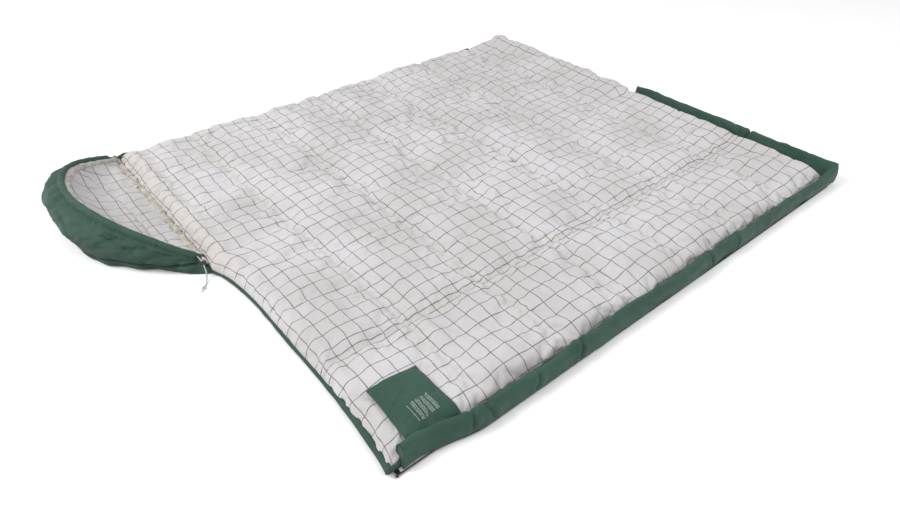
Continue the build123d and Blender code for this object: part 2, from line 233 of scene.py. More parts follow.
def add_piece(name, points, faces, material, fabric=None):
    """Smooth mesh object; fabric holds each point's place on the flat cloth, in metres."""
    mesh = bpy.data.meshes.new(name)
    mesh.from_pydata(points.tolist(), [], [f for group in faces for f in np.asarray(group).tolist()])
    if fabric is not None:
        corners = np.zeros(len(mesh.loops), np.int32)
        mesh.loops.foreach_get("vertex_index", corners)
        layer = mesh.uv_layers.new(name="fabric")
        layer.data.foreach_set("uv", fabric[corners].astype(np.float32).ravel())
    mesh.polygons.foreach_set("use_smooth", np.ones(len(mesh.polygons), bool))
    mesh.materials.append(material)
    mesh.update()
    piece = bpy.data.objects.new(name, mesh)
    bpy.context.scene.collection.objects.link(piece)
    return piece


def pairs(a, b):
    """Two coordinates for each point of a grid, each given for its rows, its columns or all of it."""
    return np.stack(np.broadcast_arrays(a, b), -1)


def normals(grid):
    """Unit normals of a grid of points."""
    n = np.cross(np.gradient(grid, axis=0), np.gradient(grid, axis=1))
    return n / np.maximum(np.linalg.norm(n, axis=2, keepdims=True), 1e-12)


def raised(grid, lift):
    """The grid moved along its normals."""
    return grid + normals(grid) * lift[..., None]


def cloth_solid(name, grid, thickness, material, fabric):
    """Closed piece of cloth: the grid is its outer face, and its inner face lies thickness below."""
    rows, columns = grid.shape[:2]
    inner = grid - normals(grid) * thickness
    points = np.concatenate([grid.reshape(-1, 3), inner.reshape(-1, 3)])
    flat = fabric.reshape(-1, 2)
    faces = slab_faces(rows, columns)
    return add_piece(name, points, faces, material, np.concatenate([flat, flat]))


def tube_solid(name, rings, material, fabric=None):
    """Closed tube: rings of points, each ring closed, with a face over each end."""
    count, around = rings.shape[:2]
    ends = [np.arange(around)[None, :], (np.arange(around) + (count - 1) * around)[None, ::-1]]
    faces = [grid_faces(count, around, wrap=True), *ends]
    flat = None if fabric is None else fabric.reshape(-1, 2)
    return add_piece(name, rings.reshape(-1, 3), faces, material, flat)


def path_frames(path):
    """Direction, level side vector and up vector at each point of a path."""
    direction = np.gradient(path, axis=0)
    direction /= np.linalg.norm(direction, axis=1, keepdims=True)
    side = np.cross(direction, UP)
    side /= np.linalg.norm(side, axis=1, keepdims=True)
    return direction, side, np.cross(side, direction)


def rings_about(line, side, up, across, rise):
    """Rings of points round each point of a line: across along its side vector, and rise along up."""
    return line[:, None] + side[:, None] * across[..., None] + up * rise[..., None]


def round_rings(line, radius, sides):
    """Rings of a round cord, rod or wire along a line."""
    _, side, up = path_frames(line)
    ring = np.linspace(0, 2 * math.pi, sides, endpoint=False)[None, :]
    return rings_about(line, side, up[:, None], np.cos(ring) * radius, np.sin(ring) * radius)


def clamp_rings(line, wide, tall):
    """Rings of a small moulded block with rounded corners along a short line."""
    _, side, up = path_frames(line)
    ring = np.linspace(0, 2 * math.pi, 20, endpoint=False)
    flat, high = (np.sign(a) * np.abs(a) ** 0.45 for a in (np.cos(ring), np.sin(ring)))
    return rings_about(line, side, up[:, None], np.outer(wide, flat), np.outer(tall, high))


# ---------------------------------------------------------------- materials

class Nodes:
    """Short calls for building one material's nodes."""

    def __init__(self, name):
        self.material = bpy.data.materials.new(name)
        self.material.use_nodes = True
        self.tree = self.material.node_tree
        self.shader = self.tree.nodes["Principled BSDF"]

    def put(self, value, socket):
        """Gives a socket its value: a link where the value is another node's output."""
        if hasattr(value, "is_linked"):
            self.tree.links.new(value, socket)
        elif value is not None:
            socket.default_value = value

    def node(self, kind, **settings):
        """New node; a setting is one of its inputs or one of its properties."""
        made = self.tree.nodes.new(kind)
        for key, value in settings.items():
            if key in made.inputs:
                self.put(value, made.inputs[key])
            else:
                setattr(made, key, value)
        return made

    def maths(self, operation, *values):
        made = self.node("ShaderNodeMath", operation=operation)
        for place, value in enumerate(values):
            self.put(value, made.inputs[place])
        return made.outputs[0]

    def times(self, a, b):
        return self.maths("MULTIPLY", a, b)

    def plus(self, a, b):
        return self.maths("ADD", a, b)

    def larger(self, a, b):
        return self.maths("MAXIMUM", a, b)

    def away(self, a, b):
        """How far apart two values are."""
        return self.maths("ABSOLUTE", self.maths("SUBTRACT", a, b))

    def ramp(self, value, low, high, to_low=0.0, to_high=1.0):
        """The value's share of the way from low to high, smoothly, as a value from to_low to to_high."""
        limits = {"From Min": low, "From Max": high, "To Min": to_low, "To Max": to_high}
        smooth = {"interpolation_type": "SMOOTHSTEP", "Value": value}
        return self.node("ShaderNodeMapRange", **smooth, **limits).outputs[0]

    def mix(self, share, first, second):
        """The first colour where the share is 0, the second where it is 1."""
        made = self.node("ShaderNodeMix", data_type="RGBA", blend_type="MIX")
        for name, value in (("Factor", share), ("A", first), ("B", second)):
            self.put(value, next(s for s in made.inputs if s.name == name and s.enabled))
        return next(s for s in made.outputs if s.enabled)

    def grain(self, scale, detail, vector):
        return self.node("ShaderNodeTexNoise", Scale=scale, Detail=detail, Vector=vector).outputs["Fac"]

    def place(self):
        """The piece's own coordinates, in metres."""
        return self.node("ShaderNodeTexCoord").outputs["Object"]

    def split(self, vector):
        return self.node("ShaderNodeSeparateXYZ", Vector=vector).outputs

    def cloth_place(self):
        """The cloth's own U and V, in metres."""
        cloth = self.split(self.node("ShaderNodeUVMap", uv_map="fabric").outputs["UV"])
        return cloth["X"], cloth["Y"]

    def weave(self, u, v, pitch):
        """Height of a plain weave: warp and weft over and under each other."""
        turn = 2 * math.pi / pitch
        warp = self.maths("SINE", self.times(u, turn))
        weft = self.maths("SINE", self.times(v, turn))
        return self.times(warp, weft)

    def bump(self, height, distance, strength=1.0, under=None):
        settings = {"Distance": distance, "Strength": strength, "Height": height, "Normal": under}
        return self.node("ShaderNodeBump", **settings).outputs["Normal"]

    def finish(self, colour, roughness, normal=None, **settings):
        """Sets the shader and returns the material."""
        settings = {"Base Color": colour, "Roughness": roughness, "Normal": normal, **settings}
        for key, value in settings.items():
            self.put(value, self.shader.inputs[key.replace("_", " ")])
        return self.material


# The pitch and line width of the check, the pitch of stitches, and the colour of worn plastic.
CHECK_ALONG = 0.0495
CHECK_ACROSS = 0.051
CHECK_LINE = 0.0026
STITCH = 0.0045
WORN = (0.2, 0.2, 0.2, 1)


def line_mask(n, place, pitch, width):
    """1 on lines that repeat at a pitch."""
    share = n.maths("FRACT", n.plus(n.maths("DIVIDE", place, pitch), 0.5))
    away = n.times(n.away(share, 0.5), pitch)
    return n.ramp(away, width * 0.36, width * 0.62, 1.0, 0.0)


def lining_material(name, seam_rows=(), double_seam=None, warmth=0.0, tone=1.0):
    """Off-white brushed cotton with a thin dark check, a little creamier at its seams; tone below 1 darkens
    it all as painted shade.
    """
    n = Nodes(name)
    u, v = n.cloth_place()
    place = n.place()
    cloudy = n.grain(4.0, 4.0, place)
    # tone scales every base colour: below 1 it is painted shade over the whole cloth.
    grey = (0.500 * tone, 0.482 * tone, 0.484 * tone, 1)
    white = (0.580 * tone, 0.569 * tone, 0.584 * tone, 1)
    cream = (0.570 * tone, 0.520 * tone, 0.465 * tone, 1)
    base = n.mix(n.ramp(cloudy, 0.32, 0.68), grey, white)
    blotch = n.ramp(n.grain(26.0, 3.0, place), 0.42, 0.66)
    base = n.mix(n.times(blotch, 0.16), base, cream)
    near_seam, stitched, strip = 0.0, 0.0, 0.0
    for x in seam_rows:
        away = n.away(u, x)
        near_seam = n.larger(near_seam, n.ramp(away, 0.003, 0.020, 1.0, 0.0))
        stitched = n.larger(stitched, n.ramp(away, 0.0005, 0.0009, 1.0, 0.0))
    rows_v = v
    if double_seam:
        middle, half, shift = double_seam
        below = n.maths("LESS_THAN", v, middle)
        rows_v = n.plus(v, n.times(below, shift))
        away = n.away(v, middle)
        strip = n.ramp(away, half * 0.95, half * 1.1, 1.0, 0.0)
        near_seam = n.larger(near_seam, strip)
        edge = n.away(away, half * 0.55)
        stitched = n.larger(stitched, n.ramp(edge, 0.0005, 0.0009, 1.0, 0.0))
        doubled = n.away(away, half)
        doubled = n.ramp(doubled, CHECK_LINE * 0.36, CHECK_LINE * 0.62, 1.0, 0.0)
    if seam_rows:
        base = n.mix(n.times(near_seam, n.ramp(blotch, 0.0, 1.0, 0.05, 0.40)), base, cream)
        at_neck = n.ramp(u, HEAD + 0.02, HEAD + 0.11, 0.40, 0.0)
        base = n.mix(n.times(at_neck, n.ramp(v, -0.15, 0.05)), base, cream)
    if warmth:
        base = n.mix(warmth, base, cream)
    across = line_mask(n, rows_v, CHECK_ACROSS, CHECK_LINE)
    if double_seam:
        across = n.times(across, n.maths("SUBTRACT", 1.0, strip))
        across = n.larger(across, doubled)
    lines = n.larger(line_mask(n, u, CHECK_ALONG, CHECK_LINE), across)
    twill = n.maths("SINE", n.times(n.plus(u, v), 2 * math.pi / 0.0021))
    worn = n.ramp(n.grain(70, 1.0, place), 0.3, 0.6, 0.74, 0.98)
    ticks = n.times(n.ramp(twill, -1.0, 0.2, 0.72, 1.0), worn)
    colour = n.mix(n.times(lines, ticks), base, (0.070, 0.067, 0.073, 1))
    height = n.weave(u, v, 0.0016)
    normal = n.bump(n.grain(420, 2.0, place), 0.0006, 0.35)
    normal = n.bump(n.grain(55, 3.0, place), 0.0020, 0.22, normal)
    normal = n.bump(height, 0.00025, 0.5, normal)
    if seam_rows:
        dashes = n.maths("FRACT", n.maths("DIVIDE", n.plus(u, v), STITCH))
        thread = n.times(stitched, n.ramp(dashes, 0.55, 0.7, 1.0, 0.0))
        colour = n.mix(n.times(thread, 0.7), colour, (0.62, 0.57, 0.50, 1))
        normal = n.bump(thread, 0.0008, 0.8, normal)
    rough = n.ramp(n.grain(60, 2.0, place), 0.3, 0.7, 0.86, 0.96)
    return n.finish(colour, rough, normal, Sheen_Weight=0.12, Sheen_Roughness=0.6, Specular_IOR_Level=0.15)


def shell_material(name, tone=1.0, painted_shade=1.0):
    """Green woven polyester, matt; tone below 1 paints shade over all of it, and painted_shade paints shade
    where its surface turns towards the ground.
    """
    n = Nodes(name)
    place = n.place()
    # tone below 1 darkens every colour here: painted shade over the whole cloth.
    dark = (0.026 * tone, 0.068 * tone, 0.047 * tone, 1)
    light = (0.036 * tone, 0.085 * tone, 0.061 * tone, 1)
    colour = n.mix(n.ramp(n.grain(9, 3.0, place), 0.3, 0.7), dark, light)
    fine = n.grain(900, 1.0, place)
    fleck = (0.050 * tone, 0.106 * tone, 0.080 * tone, 1)
    colour = n.mix(n.ramp(fine, 0.35, 0.65, 0.0, 0.15), colour, fleck)
    # Painted shade: the colour goes towards a near-black green where the surface faces sideways or down.
    if painted_shade < 1:
        facing = n.split(n.node("ShaderNodeNewGeometry").outputs["Normal"])
        shade = n.ramp(facing["Z"], -0.35, 0.62, 1.0 - painted_shade, 0.0)
        colour = n.mix(shade, colour, (0.006, 0.020, 0.013, 1))
    u, v = n.cloth_place()
    normal = n.bump(n.grain(110, 3.0, place), 0.0016, 0.30)
    normal = n.bump(n.weave(u, v, 0.0011), 0.0002, 0.45, normal)
    rough = n.ramp(n.grain(35, 3.0, place), 0.3, 0.7, 0.62, 0.78)
    return n.finish(colour, rough, normal, Sheen_Weight=0.06, Sheen_Roughness=0.5, Specular_IOR_Level=0.25)


def gathered_material(name, colour_a, colour_b, speckle):
    n = Nodes(name)
    place = n.place()
    colour = n.mix(n.ramp(n.grain(28, 3.0, place), 0.3, 0.7), colour_a, colour_b)
    bits = n.ramp(n.grain(130, 2.0, place), 0.60, 0.68)
    colour = n.mix(n.times(bits, speckle), colour, (0.16, 0.145, 0.13, 1))
    u, v = n.cloth_place()
    normal = n.bump(n.grain(240, 3.0, place), 0.0012, 0.5)
    normal = n.bump(n.weave(u, v, 0.0016), 0.00025, 0.5, normal)
    return n.finish(colour, 0.92, normal, Sheen_Weight=0.2, Specular_IOR_Level=0.2)


def tape_material(name, colour):
    """Woven zip tape with a herringbone."""
    n = Nodes(name)
    place = n.place()
    axes = n.split(place)
    slant = n.plus(axes["X"], n.maths("ABSOLUTE", axes["Y"]))
    rib = n.maths("SINE", n.times(slant, 2 * math.pi / 0.0018))
    lighter = tuple(min(1.0, c * 1.9 + 0.004) for c in colour[:3]) + (1,)
    tone = n.mix(n.ramp(rib, -0.4, 0.9, 0.0, 0.6), colour, lighter)
    normal = n.bump(rib, 0.0003, 0.6)
    rough = n.ramp(n.grain(200, 2.0, place), 0.3, 0.7, 0.7, 0.9)
    return n.finish(tone, rough, normal, Specular_IOR_Level=0.3)


def plastic_material(name, colour, rough, metal=0.0):
    """Moulded plastic or painted metal, with fine grain and paler worn edges."""
    n = Nodes(name)
    place = n.place()
    grain = n.grain(700, 2.0, place)
    edges = n.node("ShaderNodeNewGeometry").outputs["Pointiness"]
    worn = n.times(n.ramp(edges, 0.52, 0.60), n.ramp(n.grain(300, 2.0, place), 0.4, 0.6))
    tone = n.mix(n.times(worn, 0.4), colour, WORN)
    tone = n.mix(n.ramp(grain, 0.3, 0.7, 0.0, 0.12), tone, WORN)
    normal = n.bump(grain, 0.00012, 0.4)
    roughness = n.ramp(n.grain(120, 2.0, place), 0.3, 0.7, rough - 0.07, rough + 0.09)
    return n.finish(tone, roughness, normal, Metallic=metal)


def cord_material():
    """Pale grey braided cord."""
    n = Nodes("braided_cord")
    place = n.place()
    axes = n.split(place)
    turn = 2 * math.pi / 0.0022
    up = n.plus(n.plus(axes["X"], axes["Y"]), axes["Z"])
    down = n.maths("SUBTRACT", n.plus(axes["X"], axes["Z"]), axes["Y"])
    strands = n.times(n.maths("SINE", n.times(up, turn)), n.maths("SINE", n.times(down, turn)))
    colour = n.mix(n.ramp(strands, -0.5, 0.8), (0.42, 0.43, 0.43, 1), (0.68, 0.69, 0.69, 1))
    normal = n.bump(strands, 0.0006, 0.8)
    return n.finish(colour, 0.75, normal, Sheen_Weight=0.3)


def make_materials():
    """Every material, by a short name."""
    return {
        "lining": lining_material("checked_lining", CROSS_SEAMS, DOUBLE_SEAM),
        # A darker copy of the lining, painted shade for the hood's bowl and the zip facing.
        "shaded lining": lining_material("checked_lining_painted_shade", warmth=0.08, tone=0.87),
        "shell": shell_material("green_shell"),
        # The same green shell, darker all over and darker still where it faces down: painted shade.
        "shaded shell": shell_material("green_shell_painted_shade", tone=0.95, painted_shade=0.38),
        "seam": gathered_material("gathered_seam", (0.35, 0.315, 0.265, 1), (0.53, 0.49, 0.43, 1), 0.9),
        "band": gathered_material("gathered_band", (0.36, 0.335, 0.315, 1), (0.48, 0.455, 0.43, 1), 0.55),
        "tape": tape_material("black_tape", (0.012, 0.013, 0.013, 1)),
        "binding": tape_material("dark_green_binding", (0.020, 0.045, 0.033, 1)),
        "coil": plastic_material("coil_nylon", (0.010, 0.011, 0.011, 1), 0.38),
        "enamel": plastic_material("black_enamel", (0.016, 0.016, 0.018, 1), 0.32, 0.6),
        "red": plastic_material("red_pull", (0.30, 0.022, 0.016, 1), 0.35),
        "lock": plastic_material("lock_plastic", (0.010, 0.011, 0.011, 1), 0.42),
        "print": plastic_material("pale_print", (0.42, 0.50, 0.45, 1), 0.6),
        "steel": plastic_material("spring_wire", (0.45, 0.45, 0.46, 1), 0.3, 1.0),
        "cord": cord_material(),
    }


# ---------------------------------------------------------------- the padded quilt

COARSE_STEP = 2
CROSS_SEAMS = (-0.561, -0.263, 0.020, 0.313, 0.598, 0.898)
DOUBLE_SEAM = (-0.547, 0.010, -0.031)
EDGE_RADIUS = 0.038
EDGE_ARC = 0.060
EDGE_FOOT = 0.012
SIM_SPREAD = 0.016


def seam_distance(x):
    """Distance to the nearest cross seam."""
    return np.min([np.abs(x - s) for s in CROSS_SEAMS], axis=0)


def edge_turn(s):
    """How far in from the edge, and what share of the full height, s metres up the cloth from it."""
    angle = np.clip(s / EDGE_ARC, 0, 1) * math.pi / 2
    return EDGE_RADIUS * (1 - np.cos(angle)) + np.maximum(s - EDGE_ARC, 0), np.sin(angle)


def quilt_cloth(rows, columns):
    """Fabric coordinates of the lining's grid: distances along the cloth from the head and near edges."""
    extra = 2 * (EDGE_ARC - EDGE_RADIUS)
    length = PAD_FOOT - HEAD + extra
    width = 2 * PAD_SIDE + extra
    return np.meshgrid(np.linspace(0, length, rows), np.linspace(0, width, columns), indexing="ij")


def head_edge(y):
    """Where the lining's head edge is: the neck seam on the back half, a hollow curve on the front."""
    dip = arch(np.clip(-y / PAD_SIDE, 0, 1)) ** 0.7
    front = 0.002 + 0.033 * dip + 0.017 * (1 - step(-y, 0.08, 0.42))
    return HEAD + 0.004 + front * step(-y, -0.05, 0.0)


def shaped_ends(x, y, foot, back_foot):
    """x with the head edge's shape and the foot pushed out, more on the back half; and 1 on that half."""
    back = step(y, -0.03, 0.06)
    x = x + (head_edge(y) - HEAD) * (1 - step(x, HEAD, HEAD + 0.5))
    return x + (foot + back_foot * back + 0.004 * wave(y, 0.10, 5)) * step(x, 0.9, PAD_FOOT), back


def quilt_top(u, v):
    """The lining's outer face before it is puffed up."""
    length, width = u.max(), v.max()
    in_low, up_low = edge_turn(u)
    in_high, up_high = edge_turn(length - u)
    x = np.where(u < length / 2, HEAD + in_low, PAD_FOOT - in_high)
    side_low, rise_low = edge_turn(v)
    side_high, rise_high = edge_turn(width - v)
    y = np.where(v < width / 2, -PAD_SIDE + side_low, PAD_SIDE - side_high)
    flat_x, flat_y = x.copy(), y.copy()
    x, back = shaped_ends(x, y, 0.016, 0.030)
    corner = step(x, 0.98, PAD_FOOT) * step(-y, 0.78, PAD_SIDE)
    x, y = x + 0.020 * corner, y - 0.011 * corner
    seam_pull = hill(seam_distance(x), 0.032)
    side_wave = 0.004 - 0.009 * seam_pull + 0.005 * wave(x, 0.07, 6) - 0.009 * hill(x + 0.02, 0.36)
    low_side = step(x, 0.62, 0.72) * step(y, 0.74, 0.80)
    side_wave -= 0.009 * low_side
    y = y + side_wave * step(y, 0.70, PAD_SIDE) * back
    y = y + (0.003 * wave(x, 0.09, 7) + 0.004 * seam_pull) * step(-y, 0.70, PAD_SIDE)
    crown = PAD_TOP + 0.003 - 0.003 * hill(seam_distance(x), 0.06)
    by_side_tube = step(-y, 0.79, PAD_SIDE)
    crown += 0.016 * hill(x - 1.100, 0.046) * (1 - 0.45 * by_side_tube)
    crown -= 0.009 * by_side_tube * step(x, 0.55, 0.90)
    crown += 0.010 * hill(x - (HEAD + 0.046), 0.026) * back
    crown -= 0.004 * hill(x - (HEAD + 0.095), 0.024)
    crown += 0.006 * hill(x - (HEAD + 0.075), 0.030) * (1 - back)
    crown += 0.009 * hill(y - 0.838, 0.036) * (1 - 0.55 * seam_pull) * (1 - 0.4 * low_side)
    crown += 0.003 * step(x, 1.02, 1.12)
    crown -= 0.006 * hill(-y - 0.873, 0.03)
    foot = EDGE_FOOT + 0.012 * back * (1 - step(x, HEAD, HEAD + 0.10)) * step(PAD_SIDE - y, 0.0, 0.05)
    foot += 0.005 * step(y, 0.80, 0.87)
    rise = up_low * up_high * rise_low * rise_high
    z = foot + (crown - foot) * rise
    return np.stack([x, y, z], -1), flat_x, flat_y, rise


def puff(grid, pinned, pressure, growth, frames, cap):
    """Blows the cloth up a little with a cloth simulation and returns the moved grid."""
    rows, columns = grid.shape[:2]
    mesh = bpy.data.meshes.new("puffing")
    mesh.from_pydata(grid.reshape(-1, 3).tolist(), [], grid_faces(rows, columns).tolist())
    piece = bpy.data.objects.new("puffing", mesh)
    bpy.context.scene.collection.objects.link(piece)
    group = piece.vertex_groups.new(name="sewn")
    for index in np.flatnonzero(pinned.ravel() > 0.01):
        group.add([int(index)], float(pinned.ravel()[index]), "REPLACE")
    cloth = piece.modifiers.new("cloth", "CLOTH")
    settings = cloth.settings
    for key, value in (
        ("quality", 5), ("mass", 0.25), ("tension_stiffness", 12), ("compression_stiffness", 12),
        ("shear_stiffness", 4), ("bending_stiffness", 0.05), ("air_damping", 3),
        ("vertex_group_mass", "sewn"), ("shrink_min", -growth), ("use_pressure", True),
        ("uniform_pressure_force", pressure),
    ):
        setattr(settings, key, value)
    settings.effector_weights.gravity = 0
    cloth.collision_settings.use_collision = False
    cloth.point_cache.frame_start = 1
    cloth.point_cache.frame_end = frames
    for number in range(1, frames + 1):
        bpy.context.scene.frame_set(number)
    shape = piece.evaluated_get(bpy.context.evaluated_depsgraph_get()).to_mesh()
    moved = np.zeros(rows * columns * 3)
    shape.vertices.foreach_get("co", moved)
    bpy.data.objects.remove(piece)
    bpy.context.scene.frame_set(1)
    move = moved.reshape(grid.shape) - grid
    size = np.linalg.norm(move, axis=2, keepdims=True)
    return grid + move * cap * np.tanh(size / cap) / np.maximum(size, 1e-9)


def halve(values, axis):
    """Adds a smooth in-between row after each row along an axis."""
    values = np.moveaxis(values, axis, 0)
    padded = np.concatenate([2 * values[:1] - values[1:2], values, 2 * values[-1:] - values[-2:-1]])
    middle = (9 * (padded[1:-2] + padded[2:-1]) - padded[:-3] - padded[3:]) / 16
    out = np.zeros((2 * len(values) - 1, *values.shape[1:]))
    out[::2], out[1::2] = values, middle
    return np.moveaxis(out, 0, axis)


def quilt_puckers(x, y):
    """Fine height of the lining: seam grooves, puckers beside them, and crumples between them."""
    away = seam_distance(x)
    depth = (0.0052 + 0.0030 * noise(x, y, 0.07, 11)) * (1 - 0.5 * step(y, 0.76, 0.87))
    groove = -depth * np.exp(-((away / 0.0095) ** 1.3))
    tucks = 0.0050 * noise(x * 0.30, y, 0.024, 12) * hill(away - 0.012, 0.024)
    tucks += 0.0026 * noise(x * 0.5, y, 0.012, 19) * hill(away, 0.014)
    tucks += 0.0040 * noise(x * 0.30, y, 0.017, 20) * hill(x - HEAD - 0.01, 0.045) * step(y, 0.0, 0.08)
    side = np.abs(y - DOUBLE_SEAM[0])
    groove = groove - 0.0030 * hill(side - 0.006, 0.004)
    tucks += 0.0038 * noise(x, y * 0.35, 0.019, 13) * hill(side, 0.026)
    rough = 0.0064 + 0.0044 * step(x, -0.55, 0.25) + 0.0020 * noise(x, y, 0.4, 16)
    fine = 0.0019 * noise(x + 0.4 * y, y, 0.026, 17) * (0.5 + 0.7 * step(x, -0.5, 0.3))
    calm = np.maximum(step(x, 1.03, 1.10), step(-y, 0.80, 0.87))
    calm = np.maximum(calm, 1 - step(x, HEAD + 0.02, HEAD + 0.09)) * step(-y, 0.0, 0.1)
    crumples = tucks + fine + rough * rumple(x, y, 0.070, 14) * (0.6 + 0.4 * step(away, 0.0, 0.03))
    return groove + crumples * (1 - 0.65 * calm)


def pad_faces(top, floor):
    """Points and faces of a pad with a fine top and a coarse floor, 8 top faces to each floor face."""
    rows, columns = top.shape[:2]
    low_rows, low_columns = floor.shape[:2]
    low = rows * columns
    fine, coarse = border(rows, columns), border(low_rows, low_columns) + low
    walls = []
    for i in range(len(coarse)):
        a, b = coarse[i], coarse[(i + 1) % len(coarse)]
        f = [fine[(8 * i + k) % len(fine)] for k in range(9)]
        walls += [(a, f[k + 1], f[k]) for k in range(4)]
        walls.append((a, b, f[4]))
        walls += [(b, f[k + 1], f[k]) for k in range(4, 8)]
    points = np.concatenate([top.reshape(-1, 3), floor.reshape(-1, 3)])
    faces = [grid_faces(rows, columns), grid_faces(low_rows, low_columns, low, flip=True), walls]
    return points, faces


def make_quilt(lining):
    """The checked lining over its padding; returns the piece, and its top's grid for what lies on it."""
    rows, columns = 337, 289
    u, v = quilt_cloth((rows - 1) // COARSE_STEP + 1, (columns - 1) // COARSE_STEP + 1)
    grid, flat_x, flat_y, rise = quilt_top(u, v)
    pinned = np.zeros(u.shape)
    for x in CROSS_SEAMS:
        pinned[np.argmin(np.abs(flat_x[:, 0] - x)), :] = 0.5
    pinned[:, np.argmin(np.abs(flat_y[0] - DOUBLE_SEAM[0]))] = 0.5
    pinned[[0, -1], :] = pinned[:, [0, -1]] = 1
    grid = raised(grid, 0.004 * rumple(flat_x, flat_y, 0.12, 15) * rise)
    grid = puff(grid, pinned, 0.28, 0.030, 20, SIM_SPREAD)
    for axis in (0, 1):
        grid, flat_x, flat_y, rise = (halve(a, axis) for a in (grid, flat_x, flat_y, rise))
    grid = raised(grid, quilt_puckers(flat_x, flat_y) * np.clip(rise, 0.12, 1))
    grid[..., 2] = np.maximum(grid[..., 2], 0.0075)
    wander_x = 0.0042 * noise(flat_x, flat_y, 0.11, 21) + 0.0026 * noise(flat_x, flat_y, 0.045, 22)
    wander_y = 0.0042 * noise(flat_x, flat_y, 0.12, 23) + 0.0026 * noise(flat_x, flat_y, 0.045, 24)
    u, v = quilt_cloth(rows, columns)
    fabric = pairs(u + HEAD - (EDGE_ARC - EDGE_RADIUS), v - v.max() / 2)
    fabric = fabric + pairs(wander_x, wander_y)
    floor = grid[::8, ::8].copy()
    floor[..., 2] = 0.0070
    flat = np.concatenate([fabric.reshape(-1, 2), fabric[::8, ::8].reshape(-1, 2)])
    lining_piece = add_piece("quilt_lining", *pad_faces(grid, floor), lining, flat)
    return lining_piece, grid


def make_quilt_shell(shell):
    """Green outer fabric: flat on the ground, turned up round the edge, with its own quilting."""
    rows, columns = 201, 177
    wall = 0.030
    s, t = np.meshgrid(np.linspace(0, 1, rows), np.linspace(0, 1, columns), indexing="ij")
    length = PAD_FOOT - HEAD + 2 * wall
    width = 2 * PAD_SIDE + 2 * wall
    u, v = s * length, t * width
    low, high = np.minimum(u, length - u), np.minimum(v, width - v)
    climb_x, climb_y = np.clip(1 - low / wall, 0, 1), np.clip(1 - high / wall, 0, 1)
    x = HEAD + np.clip(u - wall, 0, PAD_FOOT - HEAD)
    y = np.clip(v - wall, 0, 2 * PAD_SIDE) - PAD_SIDE
    x, back = shaped_ends(x, y, 0.004, 0.022)
    out_x = np.where(u < length / 2, -1, 1)
    out_y = np.where(v < width / 2, -1, 1)
    front_head = (1 - back) * (out_x < 0)
    bulge = 0.004 + 0.005 * front_head
    uneven = 1 + 0.3 * wave(y, 0.08, 31)
    tall = 0.011 + front_head * (0.003 + 0.011 * step(-y, 0.40, 0.85)) * uneven
    x = x + out_x * bulge * arch(climb_x) - out_x * 0.007 * step(climb_x, 0.6, 1.0) * front_head
    y = y + out_y * 0.004 * arch(climb_y)
    climb = 1 - (1 - climb_x) * (1 - climb_y)
    flat = 0.0006 + 0.0032 * np.exp(-((seam_distance(x) / 0.010) ** 1.5)) * (1 - climb)
    wrinkle = 0.0012 * (1 - np.abs(noise(x * 0.6, y, 0.05, 32))) ** 4 * (1 - climb)
    z = flat + wrinkle + tall * climb
    x = x + 0.0025 * noise(x, y, 0.035, 33) * climb_x * front_head
    grid = np.stack([x, y, z], -1)[:, ::-1]
    fabric = pairs(u, v)[:, ::-1]
    return cloth_solid("quilt_shell", grid, 0.0012, shell, fabric)


# ---------------------------------------------------------------- the hood

# Stations round the hood from its near neck corner to its far one, as x from the neck seam, y and
# height: the middle of the rim's casing, the wall's shoulder and belly, and its foot on the ground.
RIM = [
    (0.004, 0.058, 0.031), (-0.0167, 0.096, 0.050), (-0.051, 0.126, 0.066), (-0.106, 0.181, 0.098),
    (-0.168, 0.263, 0.129), (-0.213, 0.362, 0.149), (-0.241, 0.475, 0.158), (-0.241, 0.577, 0.157),
    (-0.222, 0.665, 0.147), (-0.188, 0.741, 0.131), (-0.136, 0.794, 0.109), (-0.076, 0.827, 0.085),
    (-0.036, 0.843, 0.068), (0.002, 0.880, 0.045),
]
SHOULDER = [
    (0.002, 0.052, 0.026), (-0.023, 0.086, 0.039), (-0.060, 0.113, 0.053), (-0.121, 0.165, 0.080),
    (-0.194, 0.244, 0.108), (-0.253, 0.348, 0.126), (-0.287, 0.472, 0.134), (-0.292, 0.590, 0.134),
    (-0.270, 0.692, 0.128), (-0.218, 0.766, 0.118), (-0.150, 0.810, 0.096), (-0.084, 0.842, 0.072),
    (-0.040, 0.856, 0.056), (0.002, 0.892, 0.036),
]
BELLY = [
    (0.002, 0.047, 0.014), (-0.027, 0.077, 0.020), (-0.064, 0.100, 0.028), (-0.133, 0.150, 0.042),
    (-0.208, 0.236, 0.052), (-0.274, 0.340, 0.061), (-0.303, 0.470, 0.070), (-0.306, 0.604, 0.074),
    (-0.284, 0.714, 0.072), (-0.236, 0.790, 0.062), (-0.160, 0.826, 0.052), (-0.092, 0.852, 0.040),
    (-0.046, 0.868, 0.030), (0.002, 0.897, 0.018),
]
GROUND = [
    (0.004, 0.046, 0.001), (-0.026, 0.068, 0.001), (-0.056, 0.098, 0.001), (-0.116, 0.166, 0.001),
    (-0.196, 0.252, 0.001), (-0.258, 0.346, 0.001), (-0.262, 0.470, 0.001), (-0.262, 0.590, 0.001),
    (-0.248, 0.690, 0.001), (-0.205, 0.765, 0.001), (-0.142, 0.806, 0.001), (-0.080, 0.838, 0.001),
    (-0.040, 0.860, 0.001), (0.004, 0.894, 0.001),
]


def hood_curves(count):
    """Rim, shoulder, belly and ground line round the hood, the rim's level way out, and the even steps."""
    lines = [np.array(line) + (HEAD, 0, 0) for line in (RIM, SHOULDER, BELLY, GROUND)]
    stations = along(lines[0])
    at = np.linspace(0, stations[-1], count)
    lines = [through(stations, line, at) for line in lines]
    way = np.gradient(lines[0], axis=0)
    out = np.stack([-way[:, 1], way[:, 0], 0 * at], 1)
    return lines, out / np.linalg.norm(out, axis=1, keepdims=True), at


